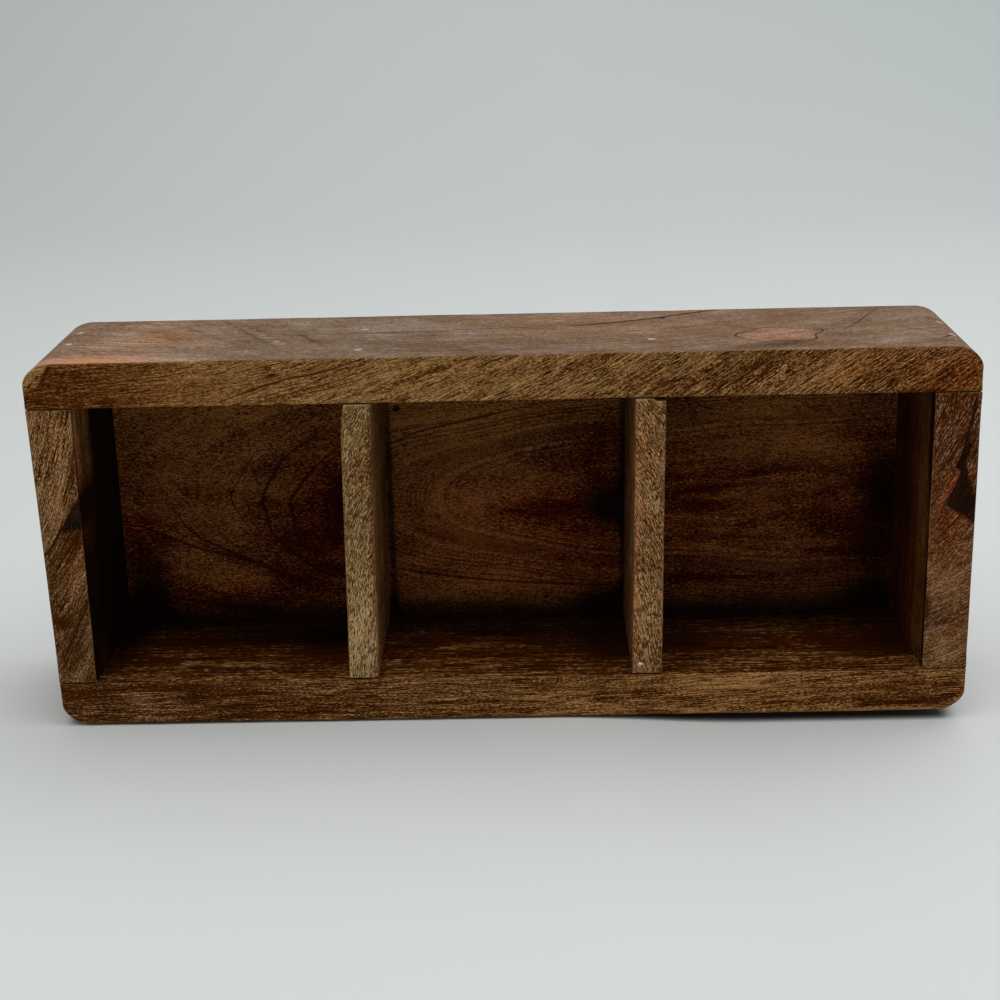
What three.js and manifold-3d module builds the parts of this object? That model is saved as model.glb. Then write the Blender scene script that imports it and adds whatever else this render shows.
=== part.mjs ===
// Wooden organizer box with three compartments, standing on one long side with its mouth forward.
// Millimetres. X runs along the length, Y from the mouth to the back panel, and Z up.
// The origin lies on the floor, under the middle of the box.

import * as THREE from 'three';
import { mergeVertices } from 'three/addons/utils/BufferGeometryUtils.js';
import Module from 'manifold-3d';

// Overall size
const LENGTH = 305;
const HEIGHT = 125;
const DEPTH = 63;

// Boards
const SIDE_THICKNESS = 15;
const END_THICKNESS = 15;
const DIVIDER_THICKNESS = 10;
const PANEL_THICKNESS = 6;
const REBATE_WIDTH = 6;
const GLUE_LINE = 0.3;

// Outer corners are sanded round, longer along the box than down it
const CORNER_LENGTH = 10;
const CORNER_DROP = 8;
const CORNER_STEPS = 10;

// The left side was cut out of square: its foot stands in from its head by this much
const LEFT_RAKE = 2.5;

// Brads that hold the long sides to the uprights
const BRAD_LENGTH = 30;
const BRAD_HEAD_WIDTH = 2.2;
const BRAD_HEAD_HEIGHT = 0.8;
const BRAD_SHANK_WIDTH = 1.25;
const BRAD_WIRE = 1.2;
const BRAD_POINT_LENGTH = 2.5;
const BRAD_POINT_WIDTH = 0.3;
const BRAD_SINK = 0.2;
const BRAD_CLEARANCE = 0.3;
const BRAD_DRIFT = 1.5;

// How far each upright's front brads lie from the mouth, and its back brads from the panel
const LEFT_END_FRONT_BRAD = 28.5;
const LEFT_END_BACK_BRAD = 11.5;
const LEFT_DIVIDER_FRONT_BRAD = 12;
const LEFT_DIVIDER_BACK_BRAD = 15;
const RIGHT_DIVIDER_FRONT_BRAD = 19;
const RIGHT_DIVIDER_BACK_BRAD = 7;
const RIGHT_END_FRONT_BRAD = 20;
const RIGHT_END_BACK_BRAD = 18.5;

// One brad driven aslant through the front edge of the right divider into the lower side
const TOE_LENGTH = 20;
const TOE_ANGLE = THREE.MathUtils.degToRad(40);
const TOE_RISE = 3.9;
const TOE_INSET = 2.4;

// Pins that hold the back panel in its rebate
const PIN_LENGTH = 15;
const PIN_END_INSET = 20;
const PINS_PER_SIDE = 4;

// A stray blind hole in the back panel, in the top left of the middle compartment
const STRAY_HOLE_RADIUS = 0.9;
const STRAY_HOLE_DEPTH = 3;
const STRAY_HOLE_ASIDE = 4.3;
const STRAY_HOLE_DROP = 17;
const STRAY_HOLE_FACETS = 10;

// How far a cut reaches past the face that it opens
const CUT_MARGIN = 2;

// Faces and middles worked out from the sizes above
const FRONT = -DEPTH / 2;
const BACK = DEPTH / 2;
const PANEL_FACE = BACK - PANEL_THICKNESS;
const LEFT_FACE = -LENGTH / 2;
const RIGHT_FACE = LENGTH / 2;
const LEFT_INNER = LEFT_FACE + END_THICKNESS;
const RIGHT_INNER = RIGHT_FACE - END_THICKNESS;
const LOWER_INNER = SIDE_THICKNESS;
const UPPER_INNER = HEIGHT - SIDE_THICKNESS;
const BAY_WIDTH = (RIGHT_INNER - LEFT_INNER - 2 * DIVIDER_THICKNESS) / 3;
const LEFT_DIVIDER_MIDDLE = LEFT_INNER + BAY_WIDTH + DIVIDER_THICKNESS / 2;
const RIGHT_DIVIDER_MIDDLE = RIGHT_INNER - BAY_WIDTH - DIVIDER_THICKNESS / 2;

// Each upright, with the places of its front and back brads
const UPRIGHTS = [
  {
    name: 'left_end',
    middle: LEFT_FACE + END_THICKNESS / 2,
    places: { front: FRONT + LEFT_END_FRONT_BRAD, back: PANEL_FACE - LEFT_END_BACK_BRAD },
  },
  {
    name: 'left_divider',
    middle: LEFT_DIVIDER_MIDDLE,
    places: { front: FRONT + LEFT_DIVIDER_FRONT_BRAD, back: PANEL_FACE - LEFT_DIVIDER_BACK_BRAD },
  },
  {
    name: 'right_divider',
    middle: RIGHT_DIVIDER_MIDDLE,
    places: { front: FRONT + RIGHT_DIVIDER_FRONT_BRAD, back: PANEL_FACE - RIGHT_DIVIDER_BACK_BRAD },
  },
  {
    name: 'right_end',
    middle: RIGHT_FACE - END_THICKNESS / 2,
    places: { front: FRONT + RIGHT_END_FRONT_BRAD, back: PANEL_FACE - RIGHT_END_BACK_BRAD },
  },
];

const WOOD_COLOURS = {
  upper_side: 0x7d6038,
  lower_side: 0x6b4b28,
  left_end: 0x73572e,
  right_end: 0x6a4a2c,
  left_divider: 0x8b7347,
  right_divider: 0x8b7347,
  back_panel: 0x4f301b,
};
const WOOD_ROUGHNESS = 0.55;
const BRAD_COLOUR = 0xb9ac97;
const BRAD_ROUGHNESS = 0.4;
const BRAD_METALNESS = 0.9;

const QUARTER = Math.PI / 2;

const wasm = await Module();
wasm.setup();

// Makes a solid that can be cut from a closed geometry.
function solidFrom(geometry) {
  const bare = geometry.clone();
  bare.deleteAttribute('normal');
  bare.deleteAttribute('uv');
  const merged = mergeVertices(bare);
  const vertProperties = new Float32Array(merged.attributes.position.array);
  const triVerts = new Uint32Array(merged.index.array);
  return new wasm.Manifold(new wasm.Mesh({ numProp: 3, vertProperties, triVerts }));
}

// Gives a cut solid back as a geometry.
function geometryFrom(solid) {
  const mesh = solid.getMesh();
  const geometry = new THREE.BufferGeometry();
  geometry.setAttribute('position', new THREE.BufferAttribute(mesh.vertProperties, 3));
  geometry.setIndex(new THREE.BufferAttribute(mesh.triVerts, 1));
  geometry.computeVertexNormals();
  return geometry;
}

// Where the sloping left face stands at a height. It meets LEFT_FACE where the upper corner starts to
// round, and has come in by LEFT_RAKE at the floor.
function leftFaceAt(z) {
  const head = HEIGHT - CORNER_DROP;
  return LEFT_FACE + LEFT_RAKE * (head - z) / head;
}

// Carries an outline drawn in X and Z from the mouth back to a depth.
function boardFrom(outline, back) {
  const settings = { depth: back - FRONT, bevelEnabled: false, curveSegments: CORNER_STEPS };
  const geometry = new THREE.ExtrudeGeometry(outline, settings);
  geometry.rotateX(QUARTER);
  geometry.translate(0, back, 0);
  return geometry;
}

// How far the upper or lower face has rounded away under a brad's head, near either outer corner.
function fallUnderHead(x, leftFace) {
  const edge = BRAD_HEAD_WIDTH / 2;
  const pastLeft = leftFace + CORNER_LENGTH - (x - edge);
  const pastRight = x + edge - (RIGHT_FACE - CORNER_LENGTH);
  const past = Math.max(pastLeft, pastRight, 0) / CORNER_LENGTH;
  return CORNER_DROP * (1 - Math.sqrt(1 - past * past));
}

// Rounds one outer corner, about a centre, from one quarter turn to the next.
function roundCorner(outline, x, z, quarter) {
  outline.absellipse(x, z, CORNER_LENGTH, CORNER_DROP, quarter * QUARTER, (quarter + 1) * QUARTER, false);
}

function upperSide() {
  const shoulder = HEIGHT - CORNER_DROP;
  const outline = new THREE.Shape();
  outline.moveTo(leftFaceAt(UPPER_INNER), UPPER_INNER);
  outline.lineTo(RIGHT_FACE, UPPER_INNER);
  roundCorner(outline, RIGHT_FACE - CORNER_LENGTH, shoulder, 0);
  roundCorner(outline, leftFaceAt(shoulder) + CORNER_LENGTH, shoulder, 1);
  outline.closePath();
  return boardFrom(outline, BACK);
}

function lowerSide() {
  const outline = new THREE.Shape();
  outline.moveTo(RIGHT_FACE, LOWER_INNER);
  outline.lineTo(leftFaceAt(LOWER_INNER), LOWER_INNER);
  roundCorner(outline, leftFaceAt(CORNER_DROP) + CORNER_LENGTH, CORNER_DROP, 2);
  roundCorner(outline, RIGHT_FACE - CORNER_LENGTH, CORNER_DROP, 3);
  outline.closePath();
  return boardFrom(outline, BACK);
}

// A board that stands between the long sides. Its left face may slope, from foot to head.
function uprightBoard(leftFoot, leftHead, right, back) {
  const outline = new THREE.Shape();
  outline.moveTo(leftFoot, LOWER_INNER + GLUE_LINE);
  outline.lineTo(right, LOWER_INNER + GLUE_LINE);
  outline.lineTo(right, UPPER_INNER - GLUE_LINE);
  outline.lineTo(leftHead, UPPER_INNER - GLUE_LINE);
  outline.closePath();
  return boardFrom(outline, back);
}

function leftEnd() {
  const foot = leftFaceAt(LOWER_INNER + GLUE_LINE);
  const head = leftFaceAt(UPPER_INNER - GLUE_LINE);
  return uprightBoard(foot, head, LEFT_INNER, BACK);
}

function rightEnd() {
  return uprightBoard(RIGHT_INNER, RIGHT_INNER, RIGHT_FACE, BACK);
}

function divider(middle) {
  const left = middle - DIVIDER_THICKNESS / 2;
  const right = middle + DIVIDER_THICKNESS / 2;
  return uprightBoard(left, left, right, PANEL_FACE - GLUE_LINE);
}

// The back panel's block. Grown by a gap, and open at the back, it is the rebate that takes the panel.
function panelBlock(gap, backFace) {
  const reach = REBATE_WIDTH + gap;
  const width = RIGHT_INNER - LEFT_INNER + 2 * reach;
  const height = UPPER_INNER - LOWER_INNER + 2 * reach;
  const front = PANEL_FACE - gap;
  const geometry = new THREE.BoxGeometry(width, backFace - front, height);
  geometry.translate((LEFT_INNER + RIGHT_INNER) / 2, (front + backFace) / 2, HEIGHT / 2);
  return geometry;
}

function strayHole() {
  const radius = STRAY_HOLE_RADIUS;
  const length = STRAY_HOLE_DEPTH + CUT_MARGIN;
  const geometry = new THREE.CylinderGeometry(radius, radius, length, STRAY_HOLE_FACETS);
  const x = LEFT_DIVIDER_MIDDLE + DIVIDER_THICKNESS / 2 + STRAY_HOLE_ASIDE;
  const y = PANEL_FACE + STRAY_HOLE_DEPTH - length / 2;
  geometry.translate(x, y, UPPER_INNER - STRAY_HOLE_DROP);
  return geometry;
}

// A brad lies along Y, with its head's top at the origin and its point towards -Y. Grown by a gap, and
// carried past the head, the same outline is the hole that takes it.
function bradGeometry(length, gap, pastHead) {
  const head = BRAD_HEAD_WIDTH / 2 + gap;
  const shank = BRAD_SHANK_WIDTH / 2 + gap;
  const point = BRAD_POINT_WIDTH / 2 + gap;
  const neck = -BRAD_HEAD_HEIGHT - gap;
  const shoulder = BRAD_POINT_LENGTH - length;
  const right = [[head, pastHead], [head, neck], [shank, neck], [shank, shoulder], [point, -length - gap]];
  const left = right.map(([x, y]) => [-x, y]).reverse();
  const corners = [...right, ...left].map(([x, y]) => new THREE.Vector2(x, y));
  const wire = BRAD_WIRE + 2 * gap;
  const geometry = new THREE.ExtrudeGeometry(new THREE.Shape(corners), { depth: wire, bevelEnabled: false });
  geometry.translate(0, 0, -wire / 2);
  return geometry;
}

// The brads through the long sides: two into each upright from above, and two from below.
function sideBrads() {
  const brads = [];
  for (const { name, middle, places } of UPRIGHTS) {
    const x = middle + BRAD_DRIFT;
    const top = HEIGHT - BRAD_SINK - fallUnderHead(x, leftFaceAt(HEIGHT - CORNER_DROP));
    const bottom = BRAD_SINK + fallUnderHead(x, leftFaceAt(CORNER_DROP));
    for (const [place, y] of Object.entries(places)) {
      brads.push({
        name: `upper_brad_${name}_${place}`,
        length: BRAD_LENGTH,
        head: new THREE.Vector3(x, y, top),
        turn: QUARTER,
        through: ['upper_side', name],
      });
      brads.push({
        name: `lower_brad_${name}_${place}`,
        length: BRAD_LENGTH,
        head: new THREE.Vector3(x, y, bottom),
        turn: -QUARTER,
        through: ['lower_side', name],
      });
    }
  }
  return brads;
}

// The slanting brad at the foot of the right divider. Its head is sunk until its lowest edge is flush.
function toeBrad() {
  const x = RIGHT_DIVIDER_MIDDLE - DIVIDER_THICKNESS / 2 + TOE_INSET;
  const y = FRONT + BRAD_SINK + Math.sin(TOE_ANGLE) * BRAD_WIRE / 2;
  return {
    name: 'toe_brad_right_divider',
    length: TOE_LENGTH,
    head: new THREE.Vector3(x, y, LOWER_INNER + TOE_RISE),
    turn: Math.PI - TOE_ANGLE,
    through: ['right_divider', 'lower_side'],
  };
}

function panelPin(name, wall, x, z) {
  const head = new THREE.Vector3(x, BACK - BRAD_SINK, z);
  return { name: `panel_pin_${name}`, length: PIN_LENGTH, head, turn: 0, through: ['back_panel', wall] };
}

// The pins through the panel's border: a row into each long side, and one into each end.
function panelPins() {
  const border = REBATE_WIDTH / 2;
  const first = LEFT_INNER - REBATE_WIDTH + PIN_END_INSET;
  const last = RIGHT_INNER + REBATE_WIDTH - PIN_END_INSET;
  const pins = [
    panelPin('left', 'left_end', LEFT_INNER - border, HEIGHT / 2),
    panelPin('right', 'right_end', RIGHT_INNER + border, HEIGHT / 2),
  ];
  for (let i = 0; i < PINS_PER_SIDE; i += 1) {
    const x = first + (last - first) * i / (PINS_PER_SIDE - 1);
    pins.push(panelPin(`upper_${i + 1}`, 'upper_side', x, UPPER_INNER + border));
    pins.push(panelPin(`lower_${i + 1}`, 'lower_side', x, LOWER_INNER - border));
  }
  return pins;
}

// The boards as solids, with the rebate and the stray hole cut.
function cutBoards() {
  const rebate = solidFrom(panelBlock(GLUE_LINE, BACK + CUT_MARGIN));
  return {
    upper_side: solidFrom(upperSide()).subtract(rebate),
    lower_side: solidFrom(lowerSide()).subtract(rebate),
    left_end: solidFrom(leftEnd()).subtract(rebate),
    right_end: solidFrom(rightEnd()).subtract(rebate),
    left_divider: solidFrom(divider(LEFT_DIVIDER_MIDDLE)),
    right_divider: solidFrom(divider(RIGHT_DIVIDER_MIDDLE)),
    back_panel: solidFrom(panelBlock(0, BACK)).subtract(solidFrom(strayHole())),
  };
}

function woodMaterial(name) {
  return new THREE.MeshStandardMaterial({
    color: WOOD_COLOURS[name], roughness: WOOD_ROUGHNESS, metalness: 0,
  });
}

function bradMaterial() {
  return new THREE.MeshStandardMaterial({
    color: BRAD_COLOUR, roughness: BRAD_ROUGHNESS, metalness: BRAD_METALNESS,
  });
}

function bradMesh(brad) {
  const mesh = new THREE.Mesh(bradGeometry(brad.length, 0, 0), bradMaterial());
  mesh.name = brad.name;
  mesh.position.copy(brad.head);
  mesh.rotation.x = brad.turn;
  return mesh;
}

// Cuts a brad's hole in every board that it passes through.
function drillFor(brad, mesh, boards) {
  mesh.updateMatrix();
  const hole = bradGeometry(brad.length, BRAD_CLEARANCE, CUT_MARGIN).applyMatrix4(mesh.matrix);
  const cutter = solidFrom(hole);
  for (const name of brad.through) {
    boards[name] = boards[name].subtract(cutter);
  }
}

function assemble() {
  const box = new THREE.Group();
  const boards = cutBoards();
  for (const brad of [...sideBrads(), toeBrad(), ...panelPins()]) {
    const mesh = bradMesh(brad);
    drillFor(brad, mesh, boards);
    box.add(mesh);
  }
  for (const [name, solid] of Object.entries(boards)) {
    const mesh = new THREE.Mesh(geometryFrom(solid), woodMaterial(name));
    mesh.name = name;
    box.add(mesh);
  }
  return box;
}

export default assemble();
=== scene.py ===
"""Looks of the wooden organizer box: figured brown boards with a satin finish, held by steel brads.

The box stands on a long side with its mouth towards the camera. X runs along the box, Y from its mouth to its
back and Z upwards. Sizes and places here are in millimetres, and the meshes are stored in metres.
"""

import logging
import math
from dataclasses import dataclass
from enum import Enum, IntEnum
from functools import partial
from typing import Any, Callable

import bpy
import numpy as np
from mathutils import Matrix, Vector


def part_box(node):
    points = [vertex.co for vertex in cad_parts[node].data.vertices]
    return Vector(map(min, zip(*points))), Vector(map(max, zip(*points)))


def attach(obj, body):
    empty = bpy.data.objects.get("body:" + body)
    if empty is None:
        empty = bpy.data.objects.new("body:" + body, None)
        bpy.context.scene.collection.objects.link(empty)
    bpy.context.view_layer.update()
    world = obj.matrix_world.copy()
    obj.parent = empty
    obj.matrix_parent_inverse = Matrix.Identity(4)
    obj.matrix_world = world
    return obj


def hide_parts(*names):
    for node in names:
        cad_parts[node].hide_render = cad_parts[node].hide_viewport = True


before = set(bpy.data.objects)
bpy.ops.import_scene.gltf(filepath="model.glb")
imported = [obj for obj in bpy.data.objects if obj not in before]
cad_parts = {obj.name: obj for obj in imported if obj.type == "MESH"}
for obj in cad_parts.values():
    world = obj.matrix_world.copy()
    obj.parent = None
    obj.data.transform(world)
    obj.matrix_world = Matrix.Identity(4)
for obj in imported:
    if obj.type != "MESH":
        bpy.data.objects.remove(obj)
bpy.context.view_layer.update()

LOG = logging.getLogger("organizer_box")
MM = 0.001
BODY = "root"

# The left side leans in by the rake, evenly from this height down to the foot.
RAKE = 2.5
RAKE_TOP = 117.0

# A distance that stands for nothing near.
FAR = 9.0

Pair = tuple[float, float]
Triple = tuple[float, float, float]
Colour = Triple
Array = np.ndarray


class Side(IntEnum):
    """The six faces of a board."""

    LEFT = 0
    RIGHT = 1
    MOUTH = 2
    BACK = 3
    UNDER = 4
    TOP = 5


# The two axes that each face spans.
FACE_AXES = {side: tuple(axis for axis in range(3) if axis != side // 2) for side in Side}


class Blend(Enum):
    """Ways to lay one colour over another."""

    MIX = "MIX"
    MULTIPLY = "MULTIPLY"


def operator(operation: str, reflected: bool = False) -> Callable[..., "Sock"]:
    """An operator of Sock that adds a Math node.

    Args:
        operation: What the node does.
        reflected: Whether the other value comes first.

    Returns:
        The operator's method.
    """

    def act(self: "Sock", other: "Sock | float" = 0.0) -> "Sock":
        """The Math node's result."""
        return self.sheet.math(operation, *((other, self) if reflected else (self, other)))

    return act


class Sock:
    """A value in a material. Python's operators on it add Math nodes."""

    def __init__(self, sheet: "NodeSheet", socket: bpy.types.NodeSocket) -> None:
        """Keeps the sheet that it belongs to and the socket that it comes from."""
        self.sheet = sheet
        self.socket = socket

    __add__ = operator("ADD")
    __radd__ = operator("ADD", True)
    __sub__ = operator("SUBTRACT")
    __rsub__ = operator("SUBTRACT", True)
    __mul__ = operator("MULTIPLY")
    __rmul__ = operator("MULTIPLY", True)
    __truediv__ = operator("DIVIDE")
    __rtruediv__ = operator("DIVIDE", True)
    __abs__ = operator("ABSOLUTE")


class NodeSheet:
    """The node tree of one material or world."""

    def __init__(self, owner: bpy.types.Material | bpy.types.World) -> None:
        """Empties the owner's tree."""
        self.owner = owner
        self.owner.use_nodes = True
        self.tree = self.owner.node_tree
        self.tree.nodes.clear()

    def node(
        self,
        kind: str,
        settings: dict[str, Any] | None = None,
        inputs: dict[str | int, Any] | None = None,
        output: str | int = 0,
    ) -> Sock:
        """Adds a node.

        Args:
            kind: The node's type.
            settings: Its own properties, set before its sockets.
            inputs: Values or links of its sockets, by name or number.
            output: The output that the result stands for.

        Returns:
            That output.
        """
        made = self.tree.nodes.new(kind)
        for key, value in (settings or {}).items():
            setattr(made, key, value)
        for key, value in (inputs or {}).items():
            if isinstance(value, Sock):
                self.tree.links.new(value.socket, made.inputs[key])
            else:
                made.inputs[key].default_value = value
        return Sock(self, made.outputs[output] if made.outputs else made.inputs[0])

    def math(self, operation: str, a: Sock | float, b: Sock | float) -> Sock:
        """One Math node on two values."""
        return self.node("ShaderNodeMath", {"operation": operation}, {0: a, 1: b})

    def vector(self, x: Sock | float, y: Sock | float, z: Sock | float) -> Sock:
        """A vector of three values."""
        return self.node("ShaderNodeCombineXYZ", None, {0: x, 1: y, 2: z})

    def parts(self, vector: Sock) -> tuple[Sock, Sock, Sock]:
        """The three values of a vector."""
        x, y, z = self.node("ShaderNodeSeparateXYZ", None, {0: vector}).socket.node.outputs
        return Sock(self, x), Sock(self, y), Sock(self, z)

    def attribute(self, name: str) -> tuple[Sock, Sock, Sock]:
        """The three values of a mesh attribute."""
        return self.parts(self.node("ShaderNodeAttribute", {"attribute_name": name}, None, "Vector"))

    def object_place(self) -> Sock:
        """The place on the object itself."""
        return self.node("ShaderNodeTexCoord", None, None, "Object")

    def noise(self, place: Sock, detail: float = 2.0, roughness: float = 0.5, scale: float = 1.0) -> Sock:
        """Smooth noise of about 0.5, with as many features to a unit as the scale says."""
        sockets = {"Vector": place, "Scale": scale, "Detail": detail, "Roughness": roughness}
        return self.node("ShaderNodeTexNoise", None, sockets)

    def step(self, value: Sock, low: float, high: float, start: float = 0.0, end: float = 1.0) -> Sock:
        """A smooth step from start at low to end at high."""
        sockets = {"Value": value, 1: low, 2: high, 3: start, 4: end}
        return self.node("ShaderNodeMapRange", {"interpolation_type": "SMOOTHSTEP"}, sockets)

    def fall(self, value: Sock, low: float, high: float) -> Sock:
        """A smooth step down from 1 at low to 0 at high."""
        return self.step(value, low, high, 1.0, 0.0)

    def crest(self, noise: Sock, width: float = 0.05) -> Sock:
        """Thin lines wherever a noise passes 0.5."""
        return self.fall(abs(noise - 0.5), 0.0, width)

    def blend(self, share: Sock | float, a: Sock | Colour, b: Sock | Colour, way: Blend = Blend.MIX) -> Sock:
        """Colour b laid over colour a by a share."""
        colours = [c if isinstance(c, Sock) else (*c, 1.0) for c in (a, b)]
        settings = {"data_type": "RGBA", "blend_type": way.value, "clamp_factor": True}
        return self.node("ShaderNodeMix", settings, {0: share, 6: colours[0], 7: colours[1]}, 2)

    def bump(self, height: Sock, strength: float, distance: float) -> Sock:
        """A normal tilted by a height, with its distance in metres."""
        sockets = {"Height": height, "Strength": strength, "Distance": distance}
        return self.node("ShaderNodeBump", None, sockets)

    def surface(self, sockets: dict[str, Any]) -> bpy.types.Material:
        """Ends the material with a Principled shader of those sockets."""
        shader = self.node("ShaderNodeBsdfPrincipled", None, sockets)
        self.node("ShaderNodeOutputMaterial", None, {"Surface": shader})
        return self.owner


@dataclass(frozen=True)
class WoodFinish:
    """Satin brown wood, coloured by its grain.

    The mesh carries five attributes: grain (along the fibres, across them and into the board), figure
    (growth-ring place, knot, filler), tone (darker or lighter, which some patches use for painted light and
    shade; redder or more golden; greyer, which on the upper side's top face is a painted sheen), mark (crack
    distance, worn arris, and grime with painted shade in corners and recesses) and calm (how much weaker the
    grain is, and how far its fibres wander). Sizes run along the fibres, across them and into the board.
    """

    deep: Colour = (0.052, 0.0120, 0.0004)
    middle: Colour = (0.198, 0.087, 0.0205)
    light: Colour = (0.450, 0.262, 0.096)
    pale: Colour = (0.520, 0.400, 0.290)
    warm: Colour = (1.40, 0.60, 0.40)
    gold: Colour = (0.95, 1.10, 0.50)
    grey_sheen_tint: Colour = (0.98, 1.53, 4.20)
    pore: Colour = (0.032, 0.008, 0.0004)
    knot: Colour = (0.006, 0.0024, 0.0014)
    split: Colour = (0.030, 0.010, 0.0018)
    filler: Colour = (0.620, 0.500, 0.400)
    contrast: float = 1.0
    banding: float = 0.25
    clouding: float = 0.45
    ring_width: float = 3.6
    ring_lines: float = 0.25
    fibre_width: float = 0.33
    fibre_length: float = 13.0
    thread_width: float = 0.27
    thread_length: float = 4.6
    pore_width: float = 0.30
    pore_length: float = 7.5
    pore_share: float = 0.545
    hair_width: float = 0.75
    hair: float = 0.55
    speckle: float = 3.1
    glint: float = 0.16
    level: float = 0.57
    fibre_share: float = 0.38
    thread_share: float = 0.44
    weave_mean: float = 0.39
    wander_size: Triple = (20.0, 10.0, 9.0)
    wander_reach: float = 4.0
    cloud_size: Triple = (34.0, 8.0, 12.0)
    speck_size: Triple = (1.0, 0.28, 0.4)
    band_run: float = 180.0
    band_depth: float = 14.0
    line_run: float = 300.0
    roughness: float = 0.60
    gloss: float = 0.02
    offset: float = 0.0

    def arched(self, sheet: NodeSheet, colour: Sock, clouds: Sock) -> Sock:
        """Plain wood has no arches."""
        return colour

    def material(self, name: str) -> bpy.types.Material:
        """Lays the wood up in layers: growth bands, fibres, pores, tints, knots, cracks and wear.

        Args:
            name: The material's name.

        Returns:
            The material.
        """
        sheet = NodeSheet(bpy.data.materials.new(name))
        along, across, into = sheet.attribute("grain")
        ring, knot, filler = sheet.attribute("figure")
        tone, red, grey = sheet.attribute("tone")
        crack, wear, grime = sheet.attribute("mark")
        calm, sway, _ = sheet.attribute("calm")

        def stretched(size: Triple, detail: float, rough: float = 0.55) -> Sock:
            """Noise drawn out along the fibres."""
            length, width, depth = size
            place = sheet.vector(along / length + self.offset, across / width, into / depth)
            return sheet.noise(place, detail, rough)

        def ringed(width: float, run: float, depth: Sock | float, detail: float) -> Sock:
            """Noise that follows the growth rings."""
            return sheet.noise(sheet.vector(rings / width, along / run + self.offset, depth), detail)

        wander = stretched(self.wander_size, 2.0, 0.5) - 0.5
        across = across + wander * sway * self.wander_reach
        rings = ring + wander * 1.2
        bands = ringed(self.ring_width, self.band_run, into / self.band_depth, 2.0)
        fibres = stretched((self.fibre_length, self.fibre_width, self.fibre_width * 1.5), 3.0, 0.6)
        threads = stretched((self.thread_length, self.thread_width, self.thread_width * 1.5), 2.0)
        pores = stretched((self.pore_length, self.pore_width, self.pore_width * 1.4), 1.0)
        clouds = stretched(self.cloud_size, 2.0)
        specks = stretched(self.speck_size, 1.0)
        weave = (
            (sheet.step(bands, 0.3, 0.7) - 0.5) * self.banding
            + sheet.step(fibres, 0.40, 0.60) * self.fibre_share
            + sheet.step(threads, 0.40, 0.60) * self.thread_share
            + (specks - 0.5) * self.speckle
            - self.weave_mean
        )
        level = weave * (self.contrast - calm) + (clouds - 0.5) * self.clouding + tone + self.level
        colour = sheet.blend(sheet.step(level, -0.15, 0.6), self.deep, self.middle)
        colour = sheet.blend(sheet.step(level, 0.45, 1.2), colour, self.light)
        shine = sheet.step(specks, 0.52, 0.80) * sheet.step(level, 0.2, 0.8)
        colour = sheet.blend(shine * (1.0 - calm) * self.glint, colour, self.pale)
        colour = sheet.blend(red + (threads - 0.5) * red, colour, self.warm, Blend.MULTIPLY)
        colour = sheet.blend(red * -1.0, colour, self.gold, Blend.MULTIPLY)
        # The grey tint: on the upper side's top face it is a painted sheen, elsewhere a grey tone of the
        # wood.
        colour = sheet.blend(grey + (clouds - 0.5) * grey * 0.5, colour, self.grey_sheen_tint, Blend.MULTIPLY)
        lines = ringed(self.ring_width * 0.4, self.line_run, 3.0, 1.0)
        line = sheet.crest(lines) * sheet.step(clouds, 0.34, 0.56)
        colour = sheet.blend(line * self.ring_lines, colour, self.pore)
        colour = self.arched(sheet, colour, clouds)
        hairs = stretched((self.fibre_length, self.hair_width, self.hair_width * 1.6), 1.0)
        hair = sheet.crest(hairs) * sheet.step(clouds + threads * 0.5, 0.55, 0.85)
        colour = sheet.blend(hair * (0.95 - calm) * self.hair, colour, self.pore)
        dash = sheet.step(pores - tone * 0.06, self.pore_share, self.pore_share + 0.07)
        colour = sheet.blend(dash * (0.95 - calm), colour, self.pore)
        patch = sheet.step(knot + (fibres - 0.5) * 0.9, 0.3, 0.8)
        colour = sheet.blend(patch * 0.90, colour, self.knot)
        split = sheet.fall(abs(crack) + (threads - 0.5) * 0.6 + (clouds - 0.5) * 0.9, 0.35, 1.1)
        colour = sheet.blend(split * 0.85, colour, self.split)
        rubbed = sheet.blend(sheet.step(clouds, 0.42, 0.58), self.deep, self.light)
        colour = sheet.blend(sheet.step(wear + (fibres - 0.5) * 0.9, 0.5, 1.1) * 0.45, colour, rubbed)
        # Painted shade in corners, recesses and towards the back of the bays, with some grime, laid on in the
        # knot's near-black colour.
        dirt_and_shade = sheet.step(grime + (clouds - 0.5) * 0.4, 0.0, 1.0)
        colour = sheet.blend(dirt_and_shade * 0.97, colour, self.knot)
        putty = sheet.step(filler + (threads - 0.5) * 0.5, 0.45, 0.6)
        colour = sheet.blend(putty * 0.8, colour, self.filler)
        height = threads * 0.4 + fibres * 0.5 + specks * 0.3 - dash * 0.6 - split * 2.0
        return sheet.surface(
            {
                "Base Color": colour,
                "Roughness": (fibres - 0.5) * 0.22 + dash * 0.15 + self.roughness,
                "Normal": sheet.bump(height, 0.35, 0.25 * MM),
                "Specular IOR Level": self.gloss,
            }
        )


@dataclass(frozen=True)
class ArchedFinish(WoodFinish):
    """Wood with thin dark arches, given by ring place and strength.

    The mesh's arch attribute holds the ring place and its slope per millimetre.
    """

    arches: tuple[Pair, ...] = ()
    arch_width: float = 0.5

    def arched(self, sheet: NodeSheet, colour: Sock, clouds: Sock) -> Sock:
        """Lays a thin dark line at each arch's ring place, equally wide wherever the rings spread apart.

        Args:
            sheet: The material's nodes.
            colour: The wood's colour so far.
            clouds: Slow noise, which thins the arches in places.

        Returns:
            The colour with the arches on it.
        """
        ring, slope, _ = sheet.attribute("arch")
        lines: Sock | float = 0.0
        for place, strength in self.arches:
            off = abs(ring - place) / slope
            lines = sheet.math("MAXIMUM", sheet.step(off, 0.0, self.arch_width, strength, 0.0), lines)
        return sheet.blend(lines * sheet.step(clouds, 0.32, 0.52, 0.35, 1.0), colour, self.pore)


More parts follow.
